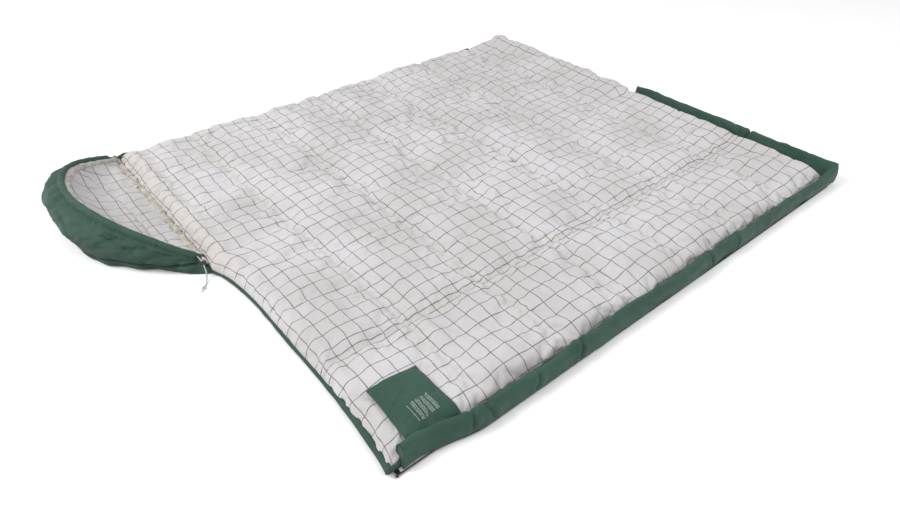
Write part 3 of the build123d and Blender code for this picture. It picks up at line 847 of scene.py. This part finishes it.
def make_hood_shell(shell):
    """Outer fabric of the hood: down from the rim to the ground, and in under it to the neck."""
    count, wall_rows, floor_rows = 300, 56, 12
    lines, out, at = hood_curves(count)
    down = np.linspace(0, 1, wall_rows)
    section = through([0, 0.32, 0.68, 1], np.array(lines).reshape(4, -1), down)
    wall = section.reshape(wall_rows, count, 3).transpose(1, 0, 2)
    f, a = np.meshgrid(down, at)
    height = wall[..., 2]
    middle = arch(f)
    gather = 0.0130 * noise(a + 0.15 * f, f * 0.02, 0.015, 41) * hill(f - 0.16, 0.09)
    gather += 0.0045 * noise(a - 0.2 * f, f * 0.02, 0.032, 47) * hill(f - 0.25, 0.22)
    folds = 0.0120 * rumple(a + height * 0.9, height * 1.3, 0.075, 42) * middle
    folds -= 0.0110 * (1 - np.abs(noise(a - height * 1.6, height * 0.5, 0.080, 43))) ** 5 * middle
    near = step(at[-1] * 0.45 - a, 0, 0.10)
    low_line = height - 0.027 - 0.005 * wave(a, 0.1, 44)
    low_seam = -0.0120 * hill(low_line, 0.0045) * near * step(middle, 0.0, 0.3)
    puffs = 0.0115 * wave(a, 0.050, 45) * hill(height - 0.012, 0.016)
    band = -0.0130 * hill(f - 0.105, 0.032)
    ends = step(a, 0.0, 0.03) * step(at[-1] - a, 0.0, 0.03)
    wall = wall + out[:, None] * ((gather + folds + low_seam + puffs + band) * ends)[..., None]
    under = np.linspace(0, 1, floor_rows + 1)[1:][None, :, None]
    spread = np.linspace(lines[3][0, 1], lines[3][-1, 1], count)
    neck = np.stack([0 * at + HEAD + 0.016, spread, 0 * at + 0.001], 1)
    floor = wall[:, -1:] * (1 - under) + neck[:, None] * under
    floor[..., 2] = 0.0010 + 0.0015 * step(under[..., 0], 0.3, 1)
    grid = np.concatenate([wall, floor], 1)
    grid[..., 2] = np.maximum(grid[..., 2], 0.0008)
    travelled = np.cumsum(np.linalg.norm(np.gradient(grid, axis=1), axis=2), axis=1)
    fabric = pairs(travelled, at[:, None])
    return cloth_solid("hood_shell", grid, 0.0022, shell, fabric)


def hood_inside(count, rows):
    """Bowl surface from the neck seam up to the rim's inner side, and how far each point is from the rim."""
    lines, out, _ = hood_curves(count)
    top = lines[0] - out * 0.006 - (0, 0, 0.004)
    spread = np.linspace(0.062, 0.884, count)
    neck = np.stack([0 * spread + HEAD - 0.008, spread, 0 * spread + 0.031], 1)
    share = np.linspace(1, 0, rows)[None, :]
    plan = top[:, None, :2] * (1 - share[..., None]) + neck[:, None, :2] * share[..., None]
    reach = np.linalg.norm(plan - top[:, None, :2], axis=2)
    slope = np.clip(0.55 * top[:, 2], 0.018, 0.080)[:, None]
    drop = 1 - np.exp(-((reach / slope) ** 1.35) * 1.6)
    z = top[:, None, 2] * (1 - drop) + 0.037 * drop
    end = np.maximum(reach[:, :1], 1e-6)
    z = z - (z[:, :1] - 0.031) * step(reach / end, 0.75, 1.0)
    return np.concatenate([plan, z[..., None]], 2), reach


def make_hood_lining(lining):
    """Checked lining of the hood's bowl, with the seam where its two panels meet."""
    count, rows = 240, 90
    grid, reach = hood_inside(count, rows)
    x, y = grid[..., 0], grid[..., 1]
    seam = x - (HEAD - 0.082) + 0.25 * (y - 0.45) * step(y, 0.45, 0.9)
    tucks = 0.0036 * noise(y, x * 0.3, 0.016, 54) * (hill(x - HEAD, 0.035) + hill(seam, 0.018))
    room = step(reach, 0.0, 0.04) * step(reach[:, :1] - reach, 0.0, 0.02)
    lumps = (0.0085 * rumple(x, y, 0.075, 51) * room + tucks) * step(reach, 0, 0.02)
    lumps -= 0.0055 * hill(seam, 0.006) * room
    grid = raised(grid, lumps)
    fabric = grid[..., :2] * 0.98 + 0.004 * pairs(noise(x, y, 0.08, 55), noise(x, y, 0.05, 56))
    fabric[..., 1] += 0.021 * step(seam, -0.0015, 0.0015)
    return cloth_solid("hood_bowl_lining", grid, 0.0016, lining, fabric)


def make_hood_band(material):
    """Gathered inner band that faces the rim all the way round."""
    count, rows = 520, 12
    _, _, at = hood_curves(count)
    grid, _ = hood_inside(count, 240)
    grid = grid[:, ::-1]
    place = np.linspace(0, 0.028, rows)
    band = np.zeros((count, rows, 3))
    for i in range(count):
        travelled = along(grid[i])
        for k in range(3):
            band[i, :, k] = np.interp(place, travelled, grid[i, :, k])
    keep = slice(int(count * 0.10), int(count * 0.955))
    band, at = band[keep, ::-1], at[keep]
    across = 1 - place[None, :] / place[-1]
    gathers = 0.0044 * noise(at[:, None], across * 0.012, 0.012, 61)
    gathers += 0.0018 * noise(at[:, None], across * 0.01, 0.006, 62)
    gathers = gathers * arch(np.clip(across, 0.1, 0.96))
    puffy = 0.0048 * arch(across) ** 0.7
    band = raised(band, 0.0012 * step(across, 0.0, 0.15) + puffy + gathers)
    fabric = pairs(at[:, None], place)
    return cloth_solid("hood_inner_band", band, 0.0014, material, fabric)


# Section of the rim band, outward and up from the middle of the drawcord's casing.
BAND_SECTION = [
    (-0.0085, -0.010), (-0.0105, -0.002), (-0.0080, 0.0065), (-0.0010, 0.0105), (0.0060, 0.0080),
    (0.0098, 0.0010), (0.0108, -0.0080), (0.0100, -0.0160), (0.0070, -0.0205), (0.0030, -0.0190),
    (-0.0020, -0.0150),
]


def make_rim_band(shell, cord):
    """Green casing round the rim, gathered on its drawcord, with squared ends."""
    count = 620
    lines, out, at = hood_curves(count)
    rim = lines[0]
    start = int(np.argmin(np.linalg.norm(rim - np.array(CORD_POINTS[0]), axis=1)))
    end = int(np.argmin(np.linalg.norm(rim - (HEAD, 0, 0) - RIM[-2], axis=1)))
    rim, out, at = rim[start:end], out[start:end], at[start:end]
    way, _, _ = path_frames(rim)
    up = np.cross(out, way)
    up = np.where(up[:, 2:] < 0, -up, up)
    section = even(np.array(BAND_SECTION + BAND_SECTION[:1]), 33)[:-1]
    turn = np.arctan2(section[:, 1], section[:, 0])[None, :]
    lower = step(-section[:, 1], -0.004, 0.016)[None, :]
    gathers = 0.0016 * noise(at[:, None], turn * 0.004, 0.011, 71)
    gathers += 0.0012 * noise(at[:, None], turn * 0.01, 0.024, 72)
    swell = 1 + gathers * (0.5 + lower) / 0.010 + 0.05 * noise(at[:, None], 0 * turn, 0.08, 73)
    swell = swell * (1 - 0.22 * hill(at - at[0], 0.004) - 0.12 * hill(at - at[-1], 0.003))[:, None]
    rings = rings_about(rim, out, up[:, None], section[:, 0] * swell, section[:, 1] * swell)
    length = np.linspace(0, 0.075, 32)
    fabric = pairs(at[:, None], length)
    inner_cord = tube_solid("rim_drawcord", round_rings(even(rim, 160), CORD_RADIUS, 10)[1:-1], cord)
    return tube_solid("hood_rim_band", rings, shell, fabric), inner_cord


def make_neck(gathered):
    """Gathered seam between the hood's lining and the body's."""
    count, rows = 560, 11
    yy, aa = np.meshgrid(np.linspace(0.056, 0.890, count), np.linspace(-1, 1, rows), indexing="ij")
    half = 0.0105 + 0.0025 * wave(yy, 0.013, 85)
    x = HEAD - 0.004 - aa * half + 0.004 * wave(yy, 0.06, 81)
    gathers = 0.0060 * noise(yy + x * 0.5, aa * 0.004, 0.0085, 82) + 0.0035 * noise(yy, aa * 0.01, 0.019, 83)
    z = 0.0385 - 0.0065 * aa**2 + gathers * (1 - 0.35 * np.abs(aa)) + 0.0030 * wave(yy, 0.1, 84)
    grid = np.stack([x, yy, z], -1)
    return cloth_solid("neck_seam", grid, 0.0018, gathered, pairs(yy, aa * 0.0135))


# ---------------------------------------------------------------- draft tubes and pocket

# Section of a draft tube, as shares of its width, outwards, and of its height.
TUBE_SECTION = [
    (-0.36, 0.000), (0.30, 0.000), (0.47, 0.045), (0.515, 0.20), (0.50, 0.45), (0.44, 0.70), (0.32, 0.89),
    (0.14, 0.985), (-0.08, 1.000), (-0.28, 0.93), (-0.43, 0.74), (-0.50, 0.46), (-0.49, 0.18), (-0.45, 0.04),
]
# Places and slants of the creases across the tubes.
SIDE_CREASES = (
    (-0.616, 0.3), (-0.560, -0.5), (-0.410, 0.9), (-0.242, 0.7), (0.368, -0.6), (0.508, 0.5),
)
FOOT_CREASES = ((-0.560, -0.6),)


def tube_rings(path, width, height, lean, creases, crease_place, seed):
    """Rings of a padded tube that stands on its path; creases are places and slants along it."""
    around = 44
    _, side, _ = path_frames(path)
    at = along(path)
    section = even(np.array(TUBE_SECTION + TUBE_SECTION[:1]), around + 1)[:-1]
    outward = np.roll(section, -1, axis=0) - np.roll(section, 1, axis=0)
    outward = np.stack([outward[:, 1], -outward[:, 0]], 1)
    outward /= np.linalg.norm(outward, axis=1, keepdims=True)
    s, t = np.meshgrid(at, np.arange(around) * 0.0042, indexing="ij")
    tall = section[:, 1][None, :]
    grow = 0 * s
    for place, slant in creases:
        away = crease_place[:, None] - place - slant * 0.030 * (tall - 0.5)
        grow -= 0.0075 * np.exp(-np.abs(away / 0.0042) ** 1.3) * step(tall, 0.05, 0.5)
        grow += 0.0030 * hill(np.abs(away) - 0.014, 0.009) * step(tall, 0.0, 0.4)
    grow += 0.0028 * noise(s, t * 0.5, 0.085, seed) + 0.0018 * noise(s + t, t, 0.032, seed + 1)
    grow += 0.0018 * noise(s, t * 0.2, 0.013, seed + 2) * hill(tall, 0.22)
    grow -= 0.0036 * (1 - np.abs(noise(s * 0.5 + t * 0.7, t * 0.8, 0.040, seed + 3))) ** 5
    level = section[None, :, 0] * width[:, None] + outward[None, :, 0] * grow
    level += (lean[:, None] + 0.004 * wave(s, 0.12, seed + 4)) * tall
    rise = section[None, :, 1] * height[:, None] + outward[None, :, 1] * grow * step(tall, 0.0, 0.3)
    return rings_about(path, side, UP, level, rise), pairs(s, t)


def make_side_tube(shell):
    """Padded tube along the front half's zip, turned inwards at its head end."""
    low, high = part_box("side_draft_tube_cover")
    x = np.linspace(low.x + 0.002, high.x + 0.043, 640)
    at_head = 1 - step(x, low.x + 0.03, low.x + 0.27)
    at_foot = step(x, 0.2, 1.0)
    wander = 0.0015 * wave(x, 0.16, 91) + 0.0015 * wave(x, 0.05, 92)
    y = -SIDE + 0.0185 + wander + 0.029 * at_head
    z = 0.0030 + 0.005 * at_head + 0.0012 * wave(x, 0.06, 93)
    width = 0.036 + 0.002 * wave(x, 0.09, 94) - 0.004 * at_foot
    height = 0.056 + 0.004 * wave(x, 0.11, 95) - 0.003 * at_head - 0.002 * at_foot
    height += 0.024 * step(x, high.x - 0.05, high.x + 0.041)
    lean = -0.001 - 0.007 * at_head + 0.005 * at_foot
    rings, fabric = tube_rings(np.stack([x, y, z], 1), width, height, lean, SIDE_CREASES, x, 96)
    rings[0, :, 0] += 0.006 * (rings[0, :, 2] - 0.03) / 0.03
    return tube_solid("side_draft_tube", rings, shell, fabric)


def make_foot_tube(shell):
    """Padded tube along the front half's foot, taller than the side tube, which rises to meet it at the
    corner.
    """
    low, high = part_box("foot_draft_tube_cover")
    y = np.linspace(low.y + 0.004, high.y - 0.012, 320)
    x = FOOT - 0.0115 + 0.0015 * wave(y, 0.13, 101)
    z = 0.0030 + 0.0012 * wave(y, 0.06, 102)
    width = 0.030 + 0.002 * wave(y, 0.09, 103)
    height = 0.077 + 0.0035 * wave(y, 0.10, 104)
    lean = 0.010 + 0.004 * hill(y + 0.70, 0.2)
    rings, fabric = tube_rings(np.stack([x, y, z], 1), width, height, lean, FOOT_CREASES, y, 105)
    return tube_solid("foot_draft_tube", rings, shell, fabric)


def surface_height(grid, x, y):
    """Height of the lining's top at the places x, y, where its grid is nearly level."""
    table_x = grid[:, grid.shape[1] // 4, 0]
    table_y = grid[grid.shape[0] // 2, :, 1]
    i = np.clip(np.interp(x, table_x, np.arange(len(table_x))), 0, len(table_x) - 1.001)
    j = np.clip(np.interp(y, table_y, np.arange(len(table_y))), 0, len(table_y) - 1.001)
    a, b = i.astype(int), j.astype(int)
    fa, fb = i - a, j - b
    z = grid[..., 2]
    low = z[a, b] * (1 - fa) + z[a + 1, b] * fa
    high = z[a, b + 1] * (1 - fa) + z[a + 1, b + 1] * fa
    return low * (1 - fb) + high * fb


POCKET_UNDER_TUBE = 0.022  # how far the pocket reaches in under the side tube


def make_bars(grid, low, print_colour):
    """Rows of small plain bars lying on the pocket."""
    points, faces = [], []
    rows, columns = grid.shape[:2]
    rng = np.random.default_rng(7)
    for group in range(5):
        for line in range(1 if group == 0 else 3):
            x = low.x + 0.048 + 0.0142 * group + 0.0036 * line + (0.004 if group == 0 else 0)
            y, far = low.y + 0.022, low.y + 0.022 + rng.uniform(0.046, 0.056)
            while y < far:
                reach = min(y + rng.uniform(0.003, 0.010), far)
                px, py = np.meshgrid([x, x + 0.0015], np.linspace(y, reach, 4), indexing="ij")
                i = np.interp(px, grid[:, columns // 2, 0], np.arange(rows)).astype(int)
                j = np.interp(py, grid[rows // 2, :, 1], np.arange(columns)).astype(int)
                bar = np.stack([px, py, grid[i, j, 2] + 0.0008], -1).reshape(-1, 3)
                faces += slab_faces(2, 4, 16 * len(points))
                points.append(np.concatenate([bar, bar - (0, 0, 0.0007)]))
                y = reach + rng.uniform(0.0012, 0.0022)
    return add_piece("inner_pocket_bars", np.concatenate(points), faces, print_colour)


def make_pocket(shell, print_colour, quilt):
    """Flat pocket sewn on three sides, its hem, and plain bars where a printed panel would be."""
    low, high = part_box("inner_pocket")
    rows, columns = 110, 136
    s, t = np.meshgrid(np.linspace(0, 1, rows), np.linspace(0, 1, columns), indexing="ij")
    long_x, long_y = high.x - low.x, high.y - low.y + POCKET_UNDER_TUBE
    x = low.x + s * long_x
    y = low.y - POCKET_UNDER_TUBE + t * long_y
    x = x + 0.0020 * wave(y, 0.05, 111) * (1 - s) - 0.014 * (1 - s) * (0.5 - t)
    y = y + 0.0015 * wave(x, 0.05, 112) - 0.012 * s * t
    inside = np.minimum(np.minimum(t, 1 - t) * long_y, (1 - s) * long_x)
    from_mouth = s * long_x
    soft = 0.0030 * (1 + np.clip(rumple(x, y, 0.060, 113), -1, 2))
    drag = -0.0032 * hill(y - (low.y + 0.030 + 0.30 * (x - low.x)), 0.0030) * step(s, 0.05, 0.3)
    far_drag = hill(y - (low.y + 0.075 + 0.55 * (x - low.x)), 0.0025)
    drag -= 0.0024 * far_drag * (1 - step(s, 0.3, 0.7))
    hem = 0.0010 * step(0.014 - from_mouth, -0.0008, 0.0008) - 0.0008 * hill(from_mouth - 0.0145, 0.0012)
    seam = -0.0010 * hill(inside - 0.004, 0.0012)
    near = [(dx, dy) for dx in (-0.009, 0, 0.009) for dy in (-0.009, 0, 0.009)]
    below = np.max([surface_height(quilt, x + dx, y + dy) for dx, dy in near], axis=0)
    z = below + 0.0020 + 0.0030 * step(inside, 0.0, 0.016)
    z = z + np.maximum(soft + drag, 0) * step(inside, 0, 0.02) + hem + seam
    for _ in range(6):
        z[1:-1, 1:-1] = (z[:-2, 1:-1] + z[2:, 1:-1] + z[1:-1, :-2] + z[1:-1, 2:]) / 4
    grid = np.stack([x, y, z], -1)
    pocket = cloth_solid("inner_pocket_panel", grid, 0.0014, shell, pairs(x, y))
    return pocket, make_bars(grid, low, print_colour)


# ---------------------------------------------------------------- zips

HEAD_BEND = 0.028  # how far the front half's zip bends out at its head end


def zip_path(inset, side, count):
    """Level line along one half's outer side and foot, inset from the zip's outer edge."""
    radius = 0.050 - inset
    start, end = HEAD + (0.045 if side > 0 else 0.020), 0.012
    corner = np.array((FOOT - 0.050, SIDE - 0.050))
    turn = np.linspace(math.pi / 2, 0, 24)
    arc = corner + radius * np.stack([np.cos(turn), np.sin(turn)], 1)
    run_x = np.linspace(start, corner[0], 200)[:-1]
    run_y = np.linspace(corner[1], end, 100)[1:]
    first = np.stack([run_x, 0 * run_x + SIDE - inset], 1)
    last = np.stack([0 * run_y + FOOT - inset, run_y], 1)
    path = np.concatenate([first, arc, last])
    if side < 0:
        bend = HEAD_BEND * (1 - inset / 0.045) * (1 - step(path[:, 0], HEAD + 0.12, HEAD + 0.27))
        path[:, 1] -= bend * (path[:, 1] > 0.5)
    travelled = along(path)
    at = np.linspace(0, travelled[-1], count)
    path = np.stack([np.interp(at, travelled, path[:, k]) for k in range(2)], 1)
    return path * (1, side), at


def zip_strip(
    name, insets, side, height, material, rows=7, wide=0.0255, count=480, ends=(0, None), up=False
):
    """Strip sewn along one half's zip between two insets; up says that height gives its upper face."""
    outer, at = zip_path(insets[0], side, count)
    inner, _ = zip_path(insets[1], side, count)
    keep = slice(ends[0], None if ends[1] is None else int(np.searchsorted(at, ends[1])))
    share = np.linspace(0, 1, rows)[None, :] + 0 * at[keep, None]
    at = at[keep, None] + 0 * share
    plan = outer[keep, None] * (1 - share[..., None]) + inner[keep, None] * share[..., None]
    grid = np.concatenate([plan, height(at, share)[..., None]], 2)
    if (side > 0) == up:
        grid = grid[:, ::-1]
    return cloth_solid(name, grid, 0.0012, material, pairs(at, share * wide))


def make_zip_half(side, tape, coil, binding):
    """Tape, coil and edging of one half zip; the tape is flatter where the slider runs on it."""
    wavy = 0.1 if side > 0 else 1.0
    name = "back_zip" if side > 0 else "front_zip"

    def tape_height(at, share):
        lift = 0.0008 * wave(at, 0.05, 121 + side) + 0.0006 * wave(at, 0.11, 125 + side)
        return 0.0046 + wavy * lift * (1 - 0.5 * share)

    def edging_height(at, share):
        return 0.0033 + 0.0003 * wave(at, 0.07, 133 + side)

    return (
        zip_strip(f"{name}_strip", (0.0055, 0.031), side, tape_height, tape),
        make_zip_teeth(f"{name}_spiral", side, coil),
        zip_strip(f"{name}_edging", (0.029, 0.044), side, edging_height, binding, rows=5, wide=0.015),
    )


def make_zip_facing(lining):
    """Narrow edge of the lining between the side tube's head end and the zip."""
    def height(at, share):
        return 0.0062 + 0.004 * share + 0.0012 * wave(at, 0.016, 129) * arch(share)

    reach = (6, 0.30)
    return zip_strip("zip_facing", (0.0078, 0.034), -1, height, lining, 7, 0.026, 1600, reach, True)


def make_zip_teeth(name, side, material):
    """Coil of one half zip, a flattened spiral on the tape's edge."""
    pitch, steps, sides = 0.0024, 6, 4
    _, at = zip_path(0.0033, side, 400)
    turns = int(at[-1] / pitch)
    count = turns * steps + 1
    path, at = zip_path(0.0033, side, count)
    way = np.gradient(path, axis=0)
    way /= np.linalg.norm(way, axis=1, keepdims=True)
    level = np.stack([-way[:, 1], way[:, 0]], 1)
    angle = np.linspace(0, turns * 2 * math.pi, count)
    wide, tall, thick = 0.0025, 0.00115, 0.00055
    plan = path + level * (np.cos(angle) * wide)[:, None]
    line = np.concatenate([plan, (0.0040 + np.sin(angle) * tall)[:, None]], 1)
    return tube_solid(name, round_rings(line, thick, sides), material)


def make_zip_end(material):
    """Stop clamped on the front zip's head end."""
    path, _ = zip_path(0.0033, -1, 400)
    way = (path[3] - path[0]) / np.linalg.norm(path[3] - path[0])
    line = np.array([[*(path[0] + way * d), 0.0042] for d in (-0.0045, -0.0040, -0.0015, 0.0010, 0.0015)])
    wide = (0.0020, 0.0028, 0.0030, 0.0028, 0.0020)
    tall = (0.0013, 0.0019, 0.0021, 0.0019, 0.0013)
    return tube_solid("front_zip_end", clamp_rings(line, wide, tall), material)


def make_zip_box(material):
    """Moulded box on the front zip's foot end, with a waist where its pin goes in."""
    low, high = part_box("front_zip_box")
    middle = (low + high) / 2
    places = np.array([0, 0.04, 0.12, 0.40, 0.52, 0.64, 0.88, 0.96, 1.0]) * (high.y - low.y) + low.y
    line = np.array([[middle.x, y, middle.z] for y in places])
    shape = np.array([0.80, 0.94, 1.0, 1.0, 0.90, 1.0, 1.0, 0.94, 0.80])
    rings = clamp_rings(line, shape * (high.x - low.x) / 2, shape * (high.z - low.z) / 2)
    return tube_solid("front_zip_housing", rings, material)


# ---------------------------------------------------------------- small parts

LOCK_WAY = Vector((0.99694, -0.07819, 0))  # the way the cord lock's button is pressed
SPRING_WIRE = 0.0004


def make_knot(material):
    """Overhand knot in the drawcord's end, with its short tail."""
    middle = np.array((-0.8995, -0.0055, 0.0050))
    turn = np.linspace(0, 1, 90)
    loop = 2 * math.pi * turn
    size = 0.0031
    knot = np.stack([
        size * (np.sin(loop) + 1.5 * np.sin(2 * loop)) * 0.62,
        size * (np.cos(loop) - 1.5 * np.cos(2 * loop)) * 0.62,
        -0.0018 * np.sin(3 * loop),
    ], 1)
    tail = np.stack([np.linspace(0.2, 1, 14)] * 3, 1) * (np.array((-0.911, -0.016, 0.0026)) - middle)
    line = np.concatenate([knot[:-1], tail]) + middle
    line[:, 2] = np.maximum(line[:, 2], 0.0024)
    return tube_solid("drawcord_end_knot", round_rings(even(line, 160), 0.0019, 10), material)


def make_lock_spring(steel):
    """Coil spring between the cord lock's barrel and its button, with its seat and its length."""
    low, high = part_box("cord_lock_spring")
    outer = (high.z - low.z) / 2
    length = (high.x - low.x - 2 * outer * abs(LOCK_WAY.y)) / LOCK_WAY.x
    middle = (low + high) / 2
    turns = 3.5
    share = np.linspace(0, 1, 80)
    climb = SPRING_WIRE / 2 + (length - SPRING_WIRE) * share
    angle = 2 * math.pi * turns * share
    radius = outer - SPRING_WIRE / 2
    across = np.array(LOCK_WAY.cross(Vector(UP)))
    foot = np.array(middle - LOCK_WAY * length / 2)
    line = foot + climb[:, None] * np.array(LOCK_WAY) + across * (radius * np.cos(angle))[:, None]
    line = line + UP * (radius * np.sin(angle))[:, None]
    spring = tube_solid("lock_spring", round_rings(line, SPRING_WIRE / 2, 8), steel)
    return spring, middle + LOCK_WAY * length / 2, length


def make_corner_flap(shell):
    """Padded flap of shell at the far head corner."""
    at = np.linspace(0, 1, 60)
    turn = np.linspace(0, 2 * math.pi, 28, endpoint=False)
    path = np.stack([HEAD - 0.018 + 0.090 * at, 0.886 + 0.006 * at, 0.019 + 0.001 * at], 1)
    profile = arch(np.clip(at * 0.90 + 0.06, 0, 1)) ** 0.5
    _, side, _ = path_frames(path)
    lumps = 1 + 0.10 * noise(at[:, None] * 0.06, turn[None, :] * 0.01, 0.012, 131)
    wide = np.cos(turn)[None, :] * 0.010 * profile[:, None] * lumps
    tall = np.sin(turn)[None, :] * 0.025 * profile[:, None] * lumps
    rings = rings_about(path, side, UP, wide, tall)
    rings[..., 2] = np.maximum(rings[..., 2], 0.0012)
    fabric = pairs(at[:, None] * 0.06, turn * 0.012)
    return tube_solid("corner_flap", rings, shell, fabric)


def make_corner_webbing(webbing):
    """Loop of webbing between the far head corner's flap and the hood."""
    loop = np.linspace(0, 1, 40)
    sag = 0.014 * arch(loop)
    bow = np.stack([HEAD - 0.036 + 0.034 * loop, 0.846 + 0.036 * loop, 0.047 - sag], 1)
    _, _, up = path_frames(bow)
    across = 0.0065 * np.linspace(-1, 1, 5)[None, :, None]
    fabric = pairs(loop[:, None] * 0.04, across[..., 0])
    return cloth_solid("corner_webbing", bow[:, None] + up[:, None] * across, 0.0016, webbing, fabric)


# ---------------------------------------------------------------- studio, and putting it together

def give_material(node, material, bevel=0.0):
    """Gives a carried-over CAD node its material, and rounds its edges."""
    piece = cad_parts[node]
    piece.data.materials.clear()
    piece.data.materials.append(material)
    if bevel:
        rounding = piece.modifiers.new("rounding", "BEVEL")
        rounding.width = bevel
        rounding.segments = 2
        rounding.limit_method = "ANGLE"


def make_studio():
    """Pale floor, white surroundings and soft lights."""
    n = Nodes("studio_floor")
    n.finish((0.96, 0.96, 0.96, 1), 0.9, Specular_IOR_Level=0.1)
    bpy.ops.mesh.primitive_plane_add(size=60, location=(0, 0, -0.0005))
    floor = bpy.context.object
    floor.name = "studio_floor"
    floor.data.materials.append(n.material)
    world = bpy.data.worlds.new("studio")
    world.use_nodes = True
    world.node_tree.nodes["Background"].inputs["Color"].default_value = (1, 1, 1, 1)
    world.node_tree.nodes["Background"].inputs["Strength"].default_value = 0.72
    bpy.context.scene.world = world
    for place, size, power in (
        ((-3.8, 1.6, 4.2), 2.4, 205),
        ((1.8, -3.2, 3.4), 3.0, 66),
    ):
        data = bpy.data.lights.new("softbox", "AREA")
        data.size = size
        data.energy = power
        light = bpy.data.objects.new("softbox", data)
        light.location = place
        light.rotation_euler = (-Vector(place)).to_track_quat("-Z", "Y").to_euler()
        bpy.context.scene.collection.objects.link(light)
    bpy.context.scene.view_settings.view_transform = "Standard"
    bpy.context.scene.view_settings.look = "None"


def tie(piece, way, nodes=()):
    """Says what a piece moves with, and hides the CAD nodes it replaces; a piece given the fold or the neck
    is only fixed in place.
    """
    if isinstance(way, str):
        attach(piece, way)
    else:
        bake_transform(piece)
    if nodes:
        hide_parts(*nodes)


def make_body(m):
    """The quilt, the draft tubes and the pocket; returns the pocket, its flat size, the quilt and the bars.
    """
    quilt, top = make_quilt(m["lining"])
    layers = ("back_lining", "front_lining", "back_insulation", "front_insulation")
    tie(quilt, FOLD, layers)
    # The shell's strip round the quilt's edge takes the shell copy with painted shade.
    quilt_shell = make_quilt_shell(m["shaded shell"])
    tie(quilt_shell, FOLD, ("back_outer_shell", "front_outer_shell"))
    for name, make, way in (("side", make_side_tube, "front_half"), ("foot", make_foot_tube, FOLD)):
        nodes = (f"{name}_draft_tube_cover", f"{name}_draft_tube_filling")
        tie(make(m["shell"]), way, nodes)
    pocket, bars = make_pocket(m["shell"], m["print"], top)
    tie(pocket, "front_half", ("inner_pocket", "inner_pocket_hem"))
    tie(bars, "front_half")
    low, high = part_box("inner_pocket")
    flat = (high.y - low.y + POCKET_UNDER_TUBE, high.x - low.x)
    return pocket, flat, quilt, bars


def make_hood(m):
    """The hood, its seam to the body, and the corner pieces beside its far end."""
    band, inner_cord = make_rim_band(m["shell"], m["cord"])
    # The hood's shell and bowl take the shell and lining copies with painted shade.
    shell, lining = make_hood_shell(m["shaded shell"]), make_hood_lining(m["shaded lining"])
    tie(shell, NECK, ("hood_outer_shell", "hood_insulation"))
    tie(lining, NECK, ("hood_lining",))
    tie(band, "hood", ("hood_rim_casing",))
    tie(inner_cord, "hood", ("hood_inner_drawcord",))
    tie(make_hood_band(m["band"]), "hood")
    tie(make_neck(m["seam"]), NECK)
    tie(make_corner_flap(m["shell"]), "back_half")
    tie(make_corner_webbing(m["tape"]), "back_half")


def make_zips(m):
    """Both half zips and the pieces at their ends."""
    for side, name, way in ((1, "back", "back_half"), (-1, "front", FOLD)):
        strip, coil, edging = make_zip_half(side, m["tape"], m["coil"], m["binding"])
        tie(strip, way, (f"{name}_zip_tape",))
        tie(coil, way, (f"{name}_zip_coil",))
        tie(edging, way, (f"{name}_edge_binding",))
    # The zip facing takes the lining copy with painted shade.
    tie(make_zip_facing(m["shaded lining"]), "front_half")
    tie(make_zip_end(m["enamel"]), "front_half", ("front_zip_top_stop",))
    tie(make_zip_box(m["enamel"]), FOLD, ("front_zip_box",))


def make_cord(m):
    """The drawcord's knot and the lock's spring; returns what is on the cord."""
    drawcord.data.materials.append(m["cord"])
    knot = make_knot(m["cord"])
    tie(drawcord, "hood", ("drawcord_end",))
    tie(knot, "hood", ("drawcord_knot",))
    spring, seat, length = make_lock_spring(m["steel"])
    tie(spring, "hood", ("cord_lock_spring",))
    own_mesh(spring)
    lock = [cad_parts[node] for node in ("cord_lock_barrel", "cord_lock_button")]
    return [knot, *lock, spring]


def main():
    m = make_materials()
    pocket, flat, quilt, bars = make_body(m)
    make_hood(m)
    make_zips(m)
    on_cord = make_cord(m)
    for node, material, bevel in (
        ("back_zip_top_stop", "enamel", 0.0006), ("back_zip_pin", "enamel", 0.0006),
        ("zip_slider", "enamel", 0.0007), ("zip_slider_pull", "red", 0.0004),
        ("cord_lock_barrel", "lock", 0.0004), ("cord_lock_button", "lock", 0.0003),
    ):
        give_material(node, m[material], bevel)
    make_studio()


main()
